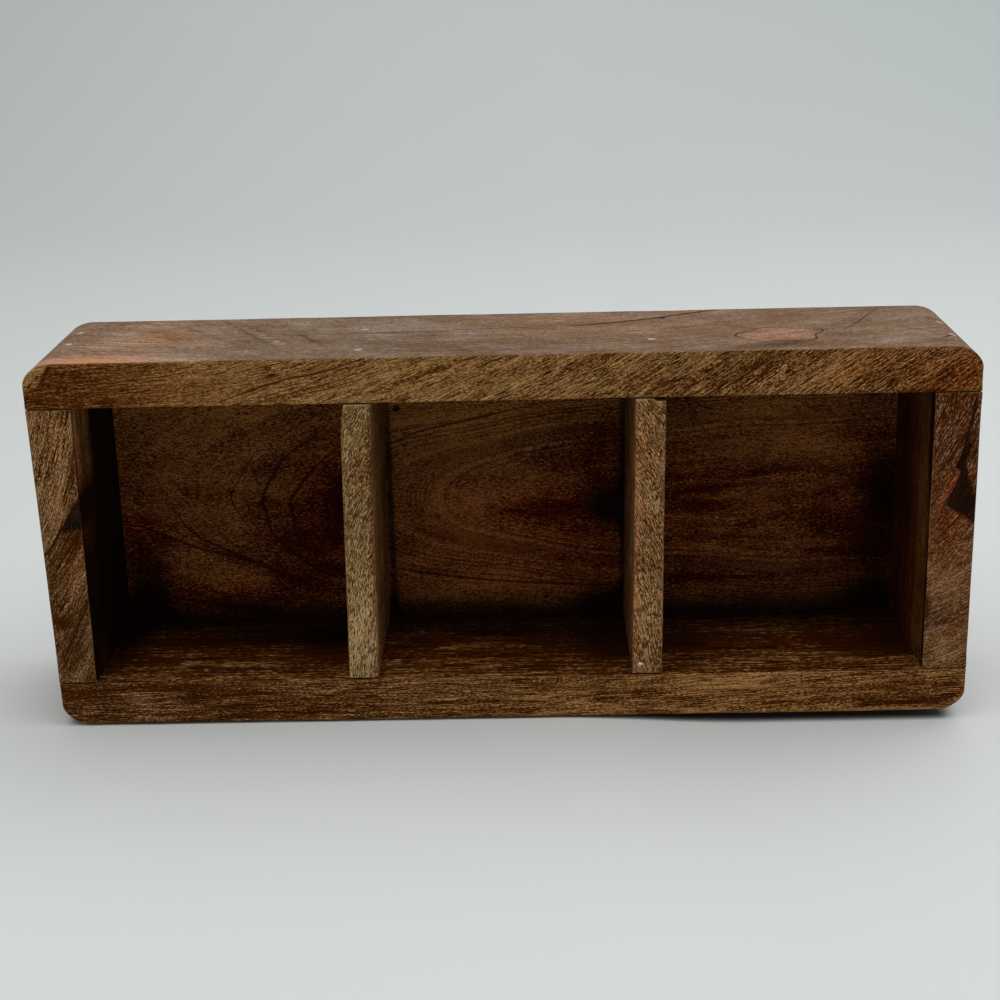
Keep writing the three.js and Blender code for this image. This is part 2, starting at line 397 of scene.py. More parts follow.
@dataclass(frozen=True)
class SteelFinish:
    """Dull bright steel of the brads' heads."""

    bright: Colour = (0.62, 0.58, 0.54)
    dull: Colour = (0.36, 0.31, 0.27)
    metal: float = 0.55
    fineness: float = 900.0

    def material(self, name: str) -> bpy.types.Material:
        """Steel clouded by fine noise on its own coordinates."""
        sheet = NodeSheet(bpy.data.materials.new(name))
        cloud = sheet.noise(sheet.object_place(), 3.0, scale=self.fineness)
        share = sheet.step(cloud, 0.35, 0.65)
        return sheet.surface(
            {
                "Base Color": sheet.blend(share, self.dull, self.bright),
                "Metallic": self.metal,
                "Roughness": share * -0.15 + 0.5,
                "Normal": sheet.bump(cloud, 0.2, 0.05 * MM),
            }
        )


@dataclass(frozen=True)
class Blotch:
    """A soft oval patch on one face, turned by an angle in degrees from the face's first axis."""

    side: Side
    place: Pair
    length: float
    width: float
    angle: float = 0.0
    tone: float = 0.0
    red: float = 0.0
    # Grey tint: a painted sheen on the top face, a grey tone of the wood elsewhere.
    grey: float = 0.0
    knot: float = 0.0
    # Darkening towards the knot colour: painted shade in corners and recesses, with some grime.
    grime: float = 0.0
    calm: float = 0.0

    def share(self, points: Array, sides: Array) -> Array:
        """How much of the patch each corner has: exp(-(a/length)² - (b/width)²) in the oval's own axes."""
        u, v = (points[:, axis] - start for axis, start in zip(FACE_AXES[self.side], self.place))
        turn = math.radians(self.angle)
        a = u * math.cos(turn) + v * math.sin(turn)
        b = v * math.cos(turn) - u * math.sin(turn)
        return np.where(sides == self.side, np.exp(-((a / self.length) ** 2) - (b / self.width) ** 2), 0.0)


@dataclass(frozen=True)
class Wedge:
    """A dark or pale patch with straight edges on one face, with its corners in anticlockwise order."""

    side: Side
    corners: tuple[Pair, ...]
    soft: float = 1.2
    knot: float = 1.0
    tone: float = 0.0
    red: float = 0.0

    def share(self, points: Array, sides: Array) -> Array:
        """How far inside each corner is: the least distance to the edges, over the softness, plus a half."""
        u, v = (points[:, axis] for axis in FACE_AXES[self.side])
        inside = np.full(len(points), FAR)
        for (u0, v0), (u1, v1) in zip(self.corners, self.corners[1:] + self.corners[:1]):
            length = math.hypot(u1 - u0, v1 - v0)
            inside = np.minimum(inside, ((u1 - u0) * (v - v0) - (v1 - v0) * (u - u0)) / length)
        return np.where(sides == self.side, np.clip(inside / self.soft + 0.5, 0.0, 1.0), 0.0)


@dataclass(frozen=True)
class Eye:
    """A pale round knot on one face with a thin dark rim."""

    side: Side
    place: Pair
    radii: Pair
    rim: float = 0.5
    tone: float = 0.4
    red: float = 0.2

    def radius(self, points: Array) -> Array:
        """Distance from the middle over the radius that way, whose outline has two slow waves and a nose."""
        u, v = ((points[:, k] - c) / r for k, c, r in zip(FACE_AXES[self.side], self.place, self.radii))
        turn = np.arctan2(v, u)
        wave = 0.07 * np.sin(3 * turn + 0.6) + 0.05 * np.sin(5 * turn + 2.0)
        nose = 0.28 * np.exp(-(((turn - 0.35) / 0.35) ** 2))
        return np.hypot(u, v) * (1.0 + wave - nose)

    def share(self, points: Array, sides: Array) -> Array:
        """1 inside the knot, 0 outside it."""
        return np.where(sides == self.side, np.clip((1.05 - self.radius(points)) / 0.25, 0.0, 1.0), 0.0)

    def distance(self, points: Array, sides: Array) -> Array:
        """Signed distance from the rim, in widths of the rim's line."""
        return np.where(sides == self.side, (self.radius(points) - 1.0) * min(self.radii) / self.rim, FAR)


@dataclass(frozen=True)
class Crack:
    """A thin split along a line of points on one face."""

    side: Side
    line: tuple[Pair, ...]
    width: float = 0.3
    fade: float = 8.0

    def path(self) -> Array:
        """The line with its corners cut twice, at a quarter and three quarters of every stretch."""
        line = np.array(self.line)
        for _ in range(2):
            cut = np.stack([0.75 * line[:-1] + 0.25 * line[1:], 0.25 * line[:-1] + 0.75 * line[1:]], axis=1)
            line = np.concatenate([line[:1], cut.reshape(-1, 2), line[-1:]])
        return line

    def distance(self, points: Array, sides: Array) -> Array:
        """Signed distance from the line's nearest stretch, in widths that fall to both ends over the fade."""
        here = sides == self.side
        place = points[here][:, FACE_AXES[self.side]]
        nearest = np.full(len(place), 11.0 * FAR)
        path = self.path()
        for start, end in zip(path, path[1:]):
            run = end - start
            share = np.clip((place - start) @ run / (run @ run), 0.0, 1.0)
            off = np.linalg.norm(place - start - share[:, None] * run, axis=1)
            turn = np.sign(run[0] * (place[:, 1] - start[1]) - run[1] * (place[:, 0] - start[0]))
            nearest = np.where(off < np.abs(nearest), off * turn, nearest)
        ends = np.minimum(*(np.linalg.norm(place - end, axis=1) for end in (path[0], path[-1])))
        width = self.width * (0.3 + 0.7 * np.clip(ends / self.fade, 0.0, 1.0))
        widths = np.full(len(points), FAR)
        widths[here] = np.clip(nearest / width, -FAR, FAR)
        return widths


def scattered(
    side: Side, low: Pair, high: Pair, count: int, size: Pair, tone: Pair, seed: int, turn: float = 0.0
) -> tuple[Blotch, ...]:
    """Patches strewn over part of a face, each half to wholly as big as a size.

    Args:
        side: The face.
        low: The part's least corner.
        high: Its greatest corner.
        count: How many patches.
        size: Greatest length and width.
        tone: Least and greatest tone.
        seed: Seed of the draw.
        turn: Their mean angle in degrees, which varies by about 6 degrees.

    Returns:
        The patches.
    """
    draw = np.random.default_rng(seed)
    places = draw.uniform(low, high, (count, 2))
    sizes = draw.uniform(0.5, 1.0, (count, 2)) * size
    turns = draw.normal(turn, 6.0, count)
    tones = draw.uniform(*tone, count)
    rows = zip(places, sizes, turns, tones)
    return tuple(Blotch(side, tuple(place), *oval, angle, shade) for place, oval, angle, shade in rows)


def ripple(points: Array, wavelength: float, seed: int) -> Array:
    """Smooth waviness from 0 to 1: the mean of six sines in seeded directions of about that wavelength."""
    draw = np.random.default_rng(seed)
    ways = draw.normal(size=(6, 3))
    rates = (math.tau / wavelength) * draw.uniform(0.6, 1.4, (6, 1))
    ways *= rates / np.linalg.norm(ways, axis=1, keepdims=True)
    return 0.5 + 0.5 * np.sin(points @ ways.T + draw.uniform(0, math.tau, 6)).mean(axis=1)


def on_edges(sides: Array) -> Array:
    """Whether each corner lies on a board's mouth or back face."""
    return (sides == Side.MOUTH) | (sides == Side.BACK)


def flow(along: Array, across: Array, angle: Callable[[Array], Array]) -> tuple[Array, Array]:
    """Straightens fibres that lean by an angle which changes along them.

    With the angle A, the place across the fibres is cos A times across, minus the integral of sin A, and the
    place along them is sin A times across, plus the integral of cos A.

    Args:
        along: Place along the board.
        across: Place across it, measured from its middle.
        angle: The lean in radians at a place along the board.

    Returns:
        Places along and across the fibres.
    """
    reach = np.linspace(along.min(), along.max(), 600)
    lean = angle(reach)
    gap = reach[1] - reach[0]
    rise = np.concatenate([[0.0], np.cumsum((np.sin(lean[1:]) + np.sin(lean[:-1])) * gap / 2)])
    run = np.concatenate([[0.0], np.cumsum((np.cos(lean[1:]) + np.cos(lean[:-1])) * gap / 2)])
    here = angle(along)
    straight = np.sin(here) * across + np.interp(along, reach, run)
    return straight, np.cos(here) * across - np.interp(along, reach, rise)


@dataclass(frozen=True)
class Lattice:
    """The skin of a block that is cut into a grid along each axis."""

    x: Array
    y: Array
    z: Array

    def skin(self) -> tuple[Array, Array, Array]:
        """Joins the six faces' grids at their shared edges, by numbering each grid point of the block once.

        Returns:
            The points, the quads in outward order, and each quad's side.
        """
        counts = np.array([len(self.x), len(self.y), len(self.z)])
        quads = []
        sides = []
        for side in Side:
            axis, last = side // 2, side % 2
            b, c = (axis + 1) % 3, (axis + 2) % 3
            p, q = np.meshgrid(np.arange(counts[b] - 1), np.arange(counts[c] - 1), indexing="ij")
            turn = np.array([(0, 0), (1, 0), (1, 1), (0, 1)])
            if not last:
                turn = turn[::-1]
            index = np.zeros((p.size, 4, 3), dtype=np.int64)
            index[:, :, axis] = (counts[axis] - 1) * last
            index[:, :, b] = p.reshape(-1, 1) + turn[:, 0]
            index[:, :, c] = q.reshape(-1, 1) + turn[:, 1]
            quads.append((index[:, :, 0] * counts[1] + index[:, :, 1]) * counts[2] + index[:, :, 2])
            sides.append(np.full(p.size, int(side)))
        number, quad = np.unique(np.concatenate(quads), return_inverse=True)
        i, rest = np.divmod(number, counts[1] * counts[2])
        j, k = np.divmod(rest, counts[2])
        points = np.stack([self.x[i], self.y[j], self.z[k]], axis=1)
        return points, quad.reshape(-1, 4), np.concatenate(sides)


ARRIS_STEPS = np.array([0.0, 0.1, 0.22, 0.38, 0.58, 0.82, 1.15, 1.6, 2.2])
ARRIS_REACH = 3.0
LEAST_CUT = 0.04


def cuts(lo: float, hi: float, spacing: float, extra: tuple[Array, ...] = ()) -> Array:
    """Grid places from lo to hi: close at both arrises, evenly spaced between, and any extra ones."""
    count = round((hi - lo - 2.0 * ARRIS_REACH) / spacing) + 1
    inner = np.linspace(lo + ARRIS_REACH, hi - ARRIS_REACH, max(2, count))
    places = np.concatenate([lo + ARRIS_STEPS, inner, hi - ARRIS_STEPS, *extra])
    places = np.unique(np.round(places, 4))
    keep = np.concatenate([[True], np.diff(places) > LEAST_CUT])
    keep[-1] = True
    return places[keep]


def corners_of(node: str) -> tuple[Array, Array]:
    """A CAD node's least and greatest corner in millimetres."""
    lo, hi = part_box(node)
    return np.array(lo) / MM, np.array(hi) / MM


def smooth_object(name: str, mesh_name: str, points: Array, quads: Array) -> bpy.types.Object:
    """A smoothly shaded mesh in the scene, from points in metres and quads."""
    mesh = bpy.data.meshes.new(mesh_name)
    mesh.from_pydata(points, [], quads)
    mesh.polygons.foreach_set("use_smooth", np.ones(len(quads), dtype=bool))
    made = bpy.data.objects.new(name, mesh)
    bpy.context.scene.collection.objects.link(made)
    return made


@dataclass
class Board:
    """One board: a gridded block with rounded arrises, slightly uneven faces and its own grain."""

    node: str
    slot: str
    finish: WoodFinish
    blotches: tuple[Blotch, ...] = ()
    cracks: tuple[Crack, ...] = ()
    wedges: tuple[Wedge, ...] = ()
    eyes: tuple[Eye, ...] = ()
    brads: str = "none"
    bare_brad: str = "none"
    brad_side: Side = Side.TOP
    brad_share: Pair = (0.5, 0.5)
    dent_depth: float = 0.4
    dent_radius: float = 1.5
    arris: float = 0.8
    arris_least: float = 0.55
    arris_spread: float = 0.9
    arris_wave: float = 26.0
    joint_arris: float = 1.0
    joint_reach: float = 5.0
    spacing: Triple = (0.8, 1.1, 0.5)
    unevenness: float = 0.16
    uneven_wave: float = 60.0
    mottle: float = 0.25
    mottle_size: float = 16.0
    rebate_axis: int = 0
    rebate_way: int = 0
    rebate_edge: float = 0.03
    seed: int = 1

    def __post_init__(self) -> None:
        """Reads the board's place and the panel's place from their CAD nodes."""
        self.lo, self.hi = corners_of(self.node)
        self.panel_lo, self.panel_hi = corners_of("back_panel")
        self.middle = (self.lo + self.hi) / 2

    def grid(self, axis: int, extra: tuple[Array, ...] = ()) -> Array:
        """Grid places along an axis, closer at the arrises and on both sides of the rebate's edges."""
        if self.rebate_way:
            edges = np.array([self.panel_lo[axis], self.panel_hi[axis]])
            edges = np.concatenate([edges - self.rebate_edge, edges + self.rebate_edge])
            extra = (*extra, edges[(edges > self.lo[axis]) & (edges < self.hi[axis])])
        return cuts(self.lo[axis], self.hi[axis], self.spacing[axis], extra)

    def lattice(self) -> Lattice:
        """The block's grid."""
        return Lattice(*(self.grid(axis) for axis in range(3)))

    def rebated(self, points: Array) -> Array:
        """Cuts the panel's rebate along a wall's inner back edge.

        With p as the depth under the inner face and q as the depth behind the panel's front, both as shares
        of the rebate, the edge is folded in at s = p + q: up to 1 it runs along the riser, then along the
        tread.

        Args:
            points: Points on the rounded block.

        Returns:
            The points of the rebated block. A board without a rebate stays as it is.
        """
        if not self.rebate_way:
            return points
        axis, other = self.rebate_axis, 2 - self.rebate_axis
        inward = self.rebate_way > 0
        inner = self.lo[axis] if inward else self.hi[axis]
        depth = (self.panel_hi[axis] if inward else self.panel_lo[axis]) - inner
        front, thick = self.panel_lo[1], self.panel_hi[1] - self.panel_lo[1]
        p = (points[:, axis] - inner) / depth
        q = (points[:, 1] - front) / thick
        held = (points[:, other] > self.panel_lo[other]) & (points[:, other] < self.panel_hi[other])
        fold = held & (p < 1.0) & (q > 0.0)
        s = np.clip(p, 0.0, 1.0) + np.clip(q, 0.0, 1.0)
        moved = points.copy()
        moved[fold, axis] = (inner + depth * np.minimum(s, 1.0))[fold]
        moved[fold, 1] = (front + thick * np.maximum(s - 1.0, 0.0))[fold]
        return moved

    def bend(self, points: Array) -> Array:
        """Moves the rounded block's points into the board's real outline. A plain board stays."""
        return points

    def grain(self, points: Array, sides: Array) -> tuple[Array, Array]:
        """Grain places and growth-ring places.

        Args:
            points: Corners on the unrounded block.
            sides: The face of each corner.

        Returns:
            Places along, across and into the fibres, and the growth-ring place.
        """
        return points, points[:, 1]

    def sway(self, sides: Array) -> Array:
        """Share of the fibres' usual wander on each face. A plain board has it all."""
        return np.ones(len(sides))

    def near_heads(self, points: Array, radius: float) -> Array:
        """How near each point is to the brads' heads on their face: the sum of exp(-(distance / radius)²)."""
        first, second = FACE_AXES[self.brad_side]
        total = np.zeros(len(points))
        for name in sorted(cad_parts):
            if name.startswith(self.brads) and name != self.bare_brad:
                lo, hi = corners_of(name)
                u, v = (lo[k] + (hi[k] - lo[k]) * share for k, share in zip((first, second), self.brad_share))
                total += np.exp(-((points[:, first] - u) ** 2 + (points[:, second] - v) ** 2) / radius**2)
        return total

    def filler(self, points: Array, sides: Array) -> Array:
        """Share of pale filler at each corner, around the brads' heads."""
        return np.where(sides == self.brad_side, self.near_heads(points, self.dent_radius), 0.0)

    def dented(self, points: Array) -> Array:
        """Presses the face in around the brads' heads, so that they show at the bottom of shallow dents."""
        axis, last = self.brad_side // 2, self.brad_side % 2
        face = self.hi[axis] if last else self.lo[axis]
        skin = np.clip(1.0 - np.abs(points[:, axis] - face), 0.0, 1.0)
        depth = self.dent_depth * skin * self.near_heads(points, self.dent_radius)
        moved = points.copy()
        moved[:, axis] += -depth if last else depth
        return moved

    def joint_distance(self, points: Array) -> Array:
        """Distance from the faces that are butted to other boards. A plain board has none."""
        return np.full(len(points), FAR)

    def sharpness(self, points: Array) -> Array:
        """Share of the arris radius that each point keeps: less near the joints, which are sanded flush."""
        share = np.clip(self.joint_distance(points) / self.joint_reach, 0.0, 1.0)
        return self.joint_arris + (1.0 - self.joint_arris) * share

    def rounded(self, points: Array) -> tuple[Array, Array]:
        """Rounds the block: inner = the point held in the block less r, then inner + r times the way out.

        Args:
            points: Points on the unrounded block.

        Returns:
            The rounded points, drawn in by the unevenness, and how far each is on an arris, from 0 to 1.
        """
        wave = self.arris_least + self.arris_spread * ripple(points, self.arris_wave, self.seed)
        radius = (self.arris * self.sharpness(points) * wave)[:, None]
        inner = np.clip(points, self.lo + radius, self.hi - radius)
        out = points - inner
        length = np.linalg.norm(out, axis=1, keepdims=True)
        way = out / length
        drawn = self.unevenness * ripple(points, self.uneven_wave, self.seed + 7)[:, None]
        wear = np.clip((1.0 - np.abs(way).max(axis=1)) / 0.29, 0.0, 1.0)
        return inner + way * (radius - drawn), wear

    def fields(self, points: Array, sides: Array, wear: Array) -> dict[str, Array]:
        """The mesh's attributes.

        Args:
            points: Corners on the unrounded block.
            sides: The face of each corner.
            wear: How far each corner is on an arris.

        Returns:
            Three values for each corner, by the attribute's name.
        """
        grain, ring = self.grain(points, sides)
        patches = {name: np.zeros(len(points)) for name in ("tone", "red", "grey", "knot", "grime", "calm")}
        patches["tone"] += self.mottle * (2.0 * ripple(points, self.mottle_size, self.seed + 5) - 1.0)
        for blotch in self.blotches:
            share = blotch.share(points, sides)
            for name, total in patches.items():
                total += share * getattr(blotch, name)
        for wedge in self.wedges:
            share = wedge.share(points, sides)
            patches["knot"] = np.maximum(patches["knot"], wedge.knot * share)
            patches["tone"] += wedge.tone * share
            patches["red"] += wedge.red * share
        for eye in self.eyes:
            patches["tone"] += eye.tone * eye.share(points, sides)
            patches["red"] += eye.red * eye.share(points, sides)
        crack = np.full(len(points), FAR)
        for split in self.cracks + self.eyes:
            off = split.distance(points, sides)
            crack = np.where(np.abs(off) < np.abs(crack), off, crack)
        return {
            "grain": grain,
            "figure": np.stack([ring, patches["knot"], self.filler(points, sides)], axis=1),
            "tone": np.stack([patches["tone"], patches["red"], patches["grey"]], axis=1),
            "mark": np.stack([crack, wear, patches["grime"]], axis=1),
            "calm": np.stack([patches["calm"], self.sway(sides), np.zeros(len(points))], axis=1),
        }

    def build(self) -> bpy.types.Object:
        """Makes the board's mesh with its attributes, dresses it and sets it on its CAD body.

        Returns:
            The board's object.
        """
        points, quads, sides = self.lattice().skin()
        shaped, wear = self.rounded(points)
        shaped = self.bend(self.rebated(self.dented(shaped)))
        board = smooth_object(f"{self.node}_board", self.node, shaped * MM, quads)
        corners = quads.ravel()
        for name, values in self.fields(points[corners], np.repeat(sides, 4), wear[corners]).items():
            layer = board.data.attributes.new(name, "FLOAT_VECTOR", "CORNER")
            layer.data.foreach_set("vector", values.astype(np.float32).ravel())
        board.data.materials.append(self.finish.material(f"{self.node}_finish"))
        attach(board, BODY)
        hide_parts(self.node)
        LOG.info("%s: %d quads", board.name, len(quads))
        return board


@dataclass
class LongSide(Board):
    """A long side that laps over both ends, with rounded outer corners and a leaning left end."""

    corner_length: float = 10.0
    corner_drop: float = 8.0
    rake_reach: float = 22.0
    outward: int = 1
    face_scale: float = 0.60
    joint_arris: float = 0.45
    rebate_axis: int = 2
    rebate_way: int = 1

    def lattice(self) -> Lattice:
        """The plain grid, with extra cuts along the rounded corners at L times (1 - cos A)."""
        turn = self.corner_length * (1.0 - np.cos(np.linspace(0.0, math.pi / 2, 17)))
        return Lattice(self.grid(0, (self.lo[0] + turn, self.hi[0] - turn)), self.grid(1), self.grid(2))

    def sway(self, sides: Array) -> Array:
        """Less wander on the two broad faces, in step with their scale."""
        return np.where(sides >= Side.UNDER, self.face_scale, 1.0)

    def joint_distance(self, points: Array) -> Array:
        """Distance from the inner face, to which the uprights are butted."""
        return np.abs(points[:, 2] - (self.lo[2] if self.outward > 0 else self.hi[2]))

    def bend(self, points: Array) -> Array:
        """Lets the outer face fall at both ends along a quarter ellipse, and leans the left end.

        The fall is drop times (1 - sqrt(1 - c²)), where c runs from 0 at the corner's start to 1 at the
        board's end. It is shared out over the board's thickness.
        """
        x, y, z = points.T
        end = np.minimum(x - self.lo[0], self.hi[0] - x)
        c = np.clip(1.0 - end / self.corner_length, 0.0, 1.0)
        fall = self.corner_drop * (1.0 - np.sqrt(1.0 - c**2))
        z = z - self.outward * fall * self.joint_distance(points) / (self.hi[2] - self.lo[2])
        lean = RAKE * np.clip((min(RAKE_TOP, self.hi[2]) - z) / RAKE_TOP, 0.0, 1.0)
        near = np.clip(1.0 - (x - self.lo[0]) / self.rake_reach, 0.0, 1.0)
        return np.stack([x + lean * near * near * (3 - 2 * near), y, z], axis=1)


@dataclass
class UpperSide(LongSide):
    """The long side that is uppermost, whose fibres climb more steeply towards its right end."""

    lean_middle: float = 24.0
    lean_rate: float = 0.145
    lean_limits: Pair = (2.0, 33.5)
    drift_places: tuple[float, ...] = (-150.0, -60.0, 30.0, 70.0, 150.0)
    drift_degrees: tuple[float, ...] = (-14.0, -8.0, 4.0, 24.0, 16.0)

    def lean(self, x: Array) -> Array:
        """The fibres' climb on the mouth edge, in radians."""
        return np.radians(np.clip(self.lean_middle + self.lean_rate * x, *self.lean_limits))

    def drift(self, x: Array) -> Array:
        """The fibres' turn towards the back on the top face, in radians."""
        return np.radians(np.interp(x, self.drift_places, self.drift_degrees))

    def grain(self, points: Array, sides: Array) -> tuple[Array, Array]:
        """Climbing fibres on the mouth and back edges, drifting ones on the top and under faces."""
        x, y, z = self.bend(points).T
        edge_along, edge_across = flow(x, z - self.middle[2], self.lean)
        top_along, top_across = flow(x, y, self.drift)
        edge = on_edges(sides)
        across = np.where(edge, edge_across, top_across * self.face_scale)
        along = np.where(edge, edge_along, top_along + 400.0)
        into = np.where(edge, y, z)
        ends = sides <= Side.RIGHT
        grain = np.stack([along, np.where(ends, z, across), np.where(ends, y, into)], axis=1)
        return grain, np.where(ends, z - 0.3 * y, across)


@dataclass
class LowerSide(LongSide):
    """The long side that the box stands on, with nearly level fibres."""

    outward: int = -1
    face_scale: float = 0.38
    rebate_way: int = -1

    def lean(self, x: Array) -> Array:
        """A slight wave in the fibres' climb, in radians."""
        return np.radians(2.0 + 3.0 * np.sin(x / 42.0))

    def grain(self, points: Array, sides: Array) -> tuple[Array, Array]:
        """Nearly level fibres on every face."""
        x, y, z = self.bend(points).T
        edge_along, edge_across = flow(x, z - self.middle[2], self.lean)
        edge = on_edges(sides)
        ends = sides <= Side.RIGHT
        across = np.where(edge, edge_across, np.where(ends, z, y * self.face_scale))
        into = np.where(edge | ends, y, z)
        return np.stack([np.where(edge, edge_along, 0.6 * x + 500.0), across, into], axis=1), across


@dataclass
class Upright(Board):
    """A board that stands between the long sides, with fibres that run up it at a lean."""

    spacing: Triple = (0.5, 1.1, 0.8)
    joint_arris: float = 0.3
    lean_heights: tuple[float, ...] = (15.0, 110.0)
    lean_degrees: tuple[float, ...] = (0.0, 0.0)
    shift_foot: float = 0.0
    shift_head: float = 0.0

    def lean(self, z: Array) -> Array:
        """The fibres' lean to the right on the mouth edge, in radians from upright."""
        return np.radians(np.interp(z, self.lean_heights, self.lean_degrees))

    def grain(self, points: Array, sides: Array) -> tuple[Array, Array]:
        """Leaning fibres on the mouth and back edges, straight ones on the wide faces."""
        x, y, z = points.T
        edge_along, edge_across = flow(z, x - self.middle[0], self.lean)
        edge = on_edges(sides)
        along = np.where(edge, edge_along, z + 300.0)
        across = np.where(edge, edge_across, y + 0.06 * z)
        into = np.where(edge, y, x)
        ring = across + np.where(edge, 0.0, 1.5 * np.sin(z / 30.0))
        return np.stack([along, across, into], axis=1), ring

    def joint_distance(self, points: Array) -> Array:
        """Distance from the foot or the head, which are butted to the long sides."""
        return np.minimum(points[:, 2] - self.lo[2], self.hi[2] - points[:, 2])

    def bend(self, points: Array) -> Array:
        """Leans the board: its foot and its head shift along X by their own amounts, evenly in between."""
        x, y, z = points.T
        share = (z - self.lo[2]) / (self.hi[2] - self.lo[2])
        return np.stack([x + self.shift_foot + (self.shift_head - self.shift_foot) * share, y, z], axis=1)


@dataclass
class Divider(Upright):
    """A thin upright whose head is worn or chipped at the mouth."""

    cut_width: float = 0.0
    cut_height: float = 8.5
    chip_start: float = 0.0
    chip_depth: float = 0.0
    mouth_reach: float = 14.0

    def bend(self, points: Array) -> Array:
        """Leans the divider, slants its left head corner, and lowers its head right of the chip's start.

        The slant and the chip fade with the distance from the mouth.
        """
        x, y, z = points.T
        mouth = np.exp(-(((y - self.lo[1]) / self.mouth_reach) ** 2))
        high = np.clip((z - self.hi[2] + self.cut_height) / self.cut_height, 0.0, 1.0) ** 1.4
        leftness = np.clip((self.hi[0] - x) / (self.hi[0] - self.lo[0]), 0.0, 1.0)
        step = np.clip((x - self.lo[0] - self.chip_start) / 0.9, 0.0, 1.0)
        top = np.clip(1.0 - (self.hi[2] - z) / 4.0, 0.0, 1.0)
        x = x + self.cut_width * high * leftness * mouth
        return super().bend(np.stack([x, y, z - self.chip_depth * step * top * mouth], axis=1))


@dataclass
class LeftEnd(Upright):
    """The left end, whose outer face leans in towards its foot."""

    rebate_way: int = -1

    def bend(self, points: Array) -> Array:
        """Draws the outer face in by the rake times the share of the height below its top."""
        x, y, z = points.T
        lean = RAKE * np.clip((RAKE_TOP - z) / RAKE_TOP, 0.0, 1.0)
        outer = (self.hi[0] - x) / (self.hi[0] - self.lo[0])
        start = RAKE * (RAKE_TOP - self.hi[2]) / RAKE_TOP
        return np.stack([x + (lean - start) * np.clip(outer, 0.0, 1.0), y, z], axis=1)


@dataclass
class BackPanel(Board):
    """The thin panel behind the bays, with nested arches that open to the right."""

    spacing: Triple = (1.06, 1.1, 1.06)
    heart_x: float = -12.0
    heart_z: float = 60.0
    nose: float = 9.0
    nose_rate: float = 0.28
    flatten: float = 90.0
    hole: Pair = (-38.2, 93.1)
    hole_radius: float = 0.9
    hole_depth: float = 3.0
    slope_reach: float = 0.5
    least_slope: float = 0.03

    def lattice(self) -> Lattice:
        """The plain grid, with closer cuts across the stray hole."""
        x, z = (place + np.linspace(-1.5, 1.5, 17) for place in self.hole)
        return Lattice(self.grid(0, (x,)), self.grid(1), self.grid(2, (z,)))

    def bend(self, points: Array) -> Array:
        """Sinks the stray hole into the mouth side as a steep round cup."""
        x, y, z = points.T
        off = np.hypot(x - self.hole[0], z - self.hole[1]) / self.hole_radius
        cup = self.hole_depth / (1.0 + off**8)
        front = y < self.middle[1]
        return np.stack([x, y + np.where(front, cup, 0.0), z], axis=1)

    def arch(self, points: Array) -> Array:
        """How far left of the heart the tip of the arch through each point lies.

        An arch whose tip lies L left of the heart has the half height h at the distance d from its tip, where
        h² = (nose + rate times L) times d, over (1 + d / flatten). With d = L + s, where s is the place right
        of the heart, that is a quadratic in L.
        """
        s = points[:, 0] - self.heart_x + 5.0 * ripple(points, 55.0, self.seed + 3) - 2.5
        square = (points[:, 2] - self.heart_z + 4.0 * ripple(points, 48.0, self.seed + 4) - 2.0) ** 2
        b = self.nose + self.nose_rate * s - square / self.flatten
        c = self.nose * s - square * (1.0 + s / self.flatten)
        return (np.sqrt(np.maximum(b * b - 4.0 * self.nose_rate * c, 0.0)) - b) / (2.0 * self.nose_rate)

    def grain(self, points: Array, sides: Array) -> tuple[Array, Array]:
        """Level fibres, and rings that nest as arches."""
        return points[:, [0, 2, 1]], self.arch(points)

    def fields(self, points: Array, sides: Array, wear: Array) -> dict[str, Array]:
        """The board's attributes, and the arches' ring place with its slope from differences over a reach."""
        made = super().fields(points, sides, wear)
        ring = made["figure"][:, 0]
        steps = self.slope_reach * np.eye(3)[[0, 2]]
        slope = np.hypot(*((self.arch(points + step) - ring) / self.slope_reach for step in steps))
        made["arch"] = np.stack([ring, np.maximum(slope, self.least_slope), ring], axis=1)
        return made


@dataclass
class Fasteners:
    """The brads and pins, which keep their CAD shapes."""

    finish: SteelFinish
    rusted: SteelFinish
    rusted_brad: str
    marks: tuple[str, ...] = ("brad", "pin")

    def dress(self) -> int:
        """Puts the steel finish on every brad and pin, and the rusted one on the darkened brad.

        Returns:
            How many were dressed.
        """
        steel = self.finish.material("brad_steel_finish")
        rust = self.rusted.material("rusted_brad_finish")
        names = [n for n in sorted(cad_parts) if any(mark in n for mark in self.marks)]
        for name in names:
            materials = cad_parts[name].data.materials
            materials.clear()
            materials.append(rust if name == self.rusted_brad else steel)
        LOG.info("fasteners: %d dressed", len(names))
        return len(names)


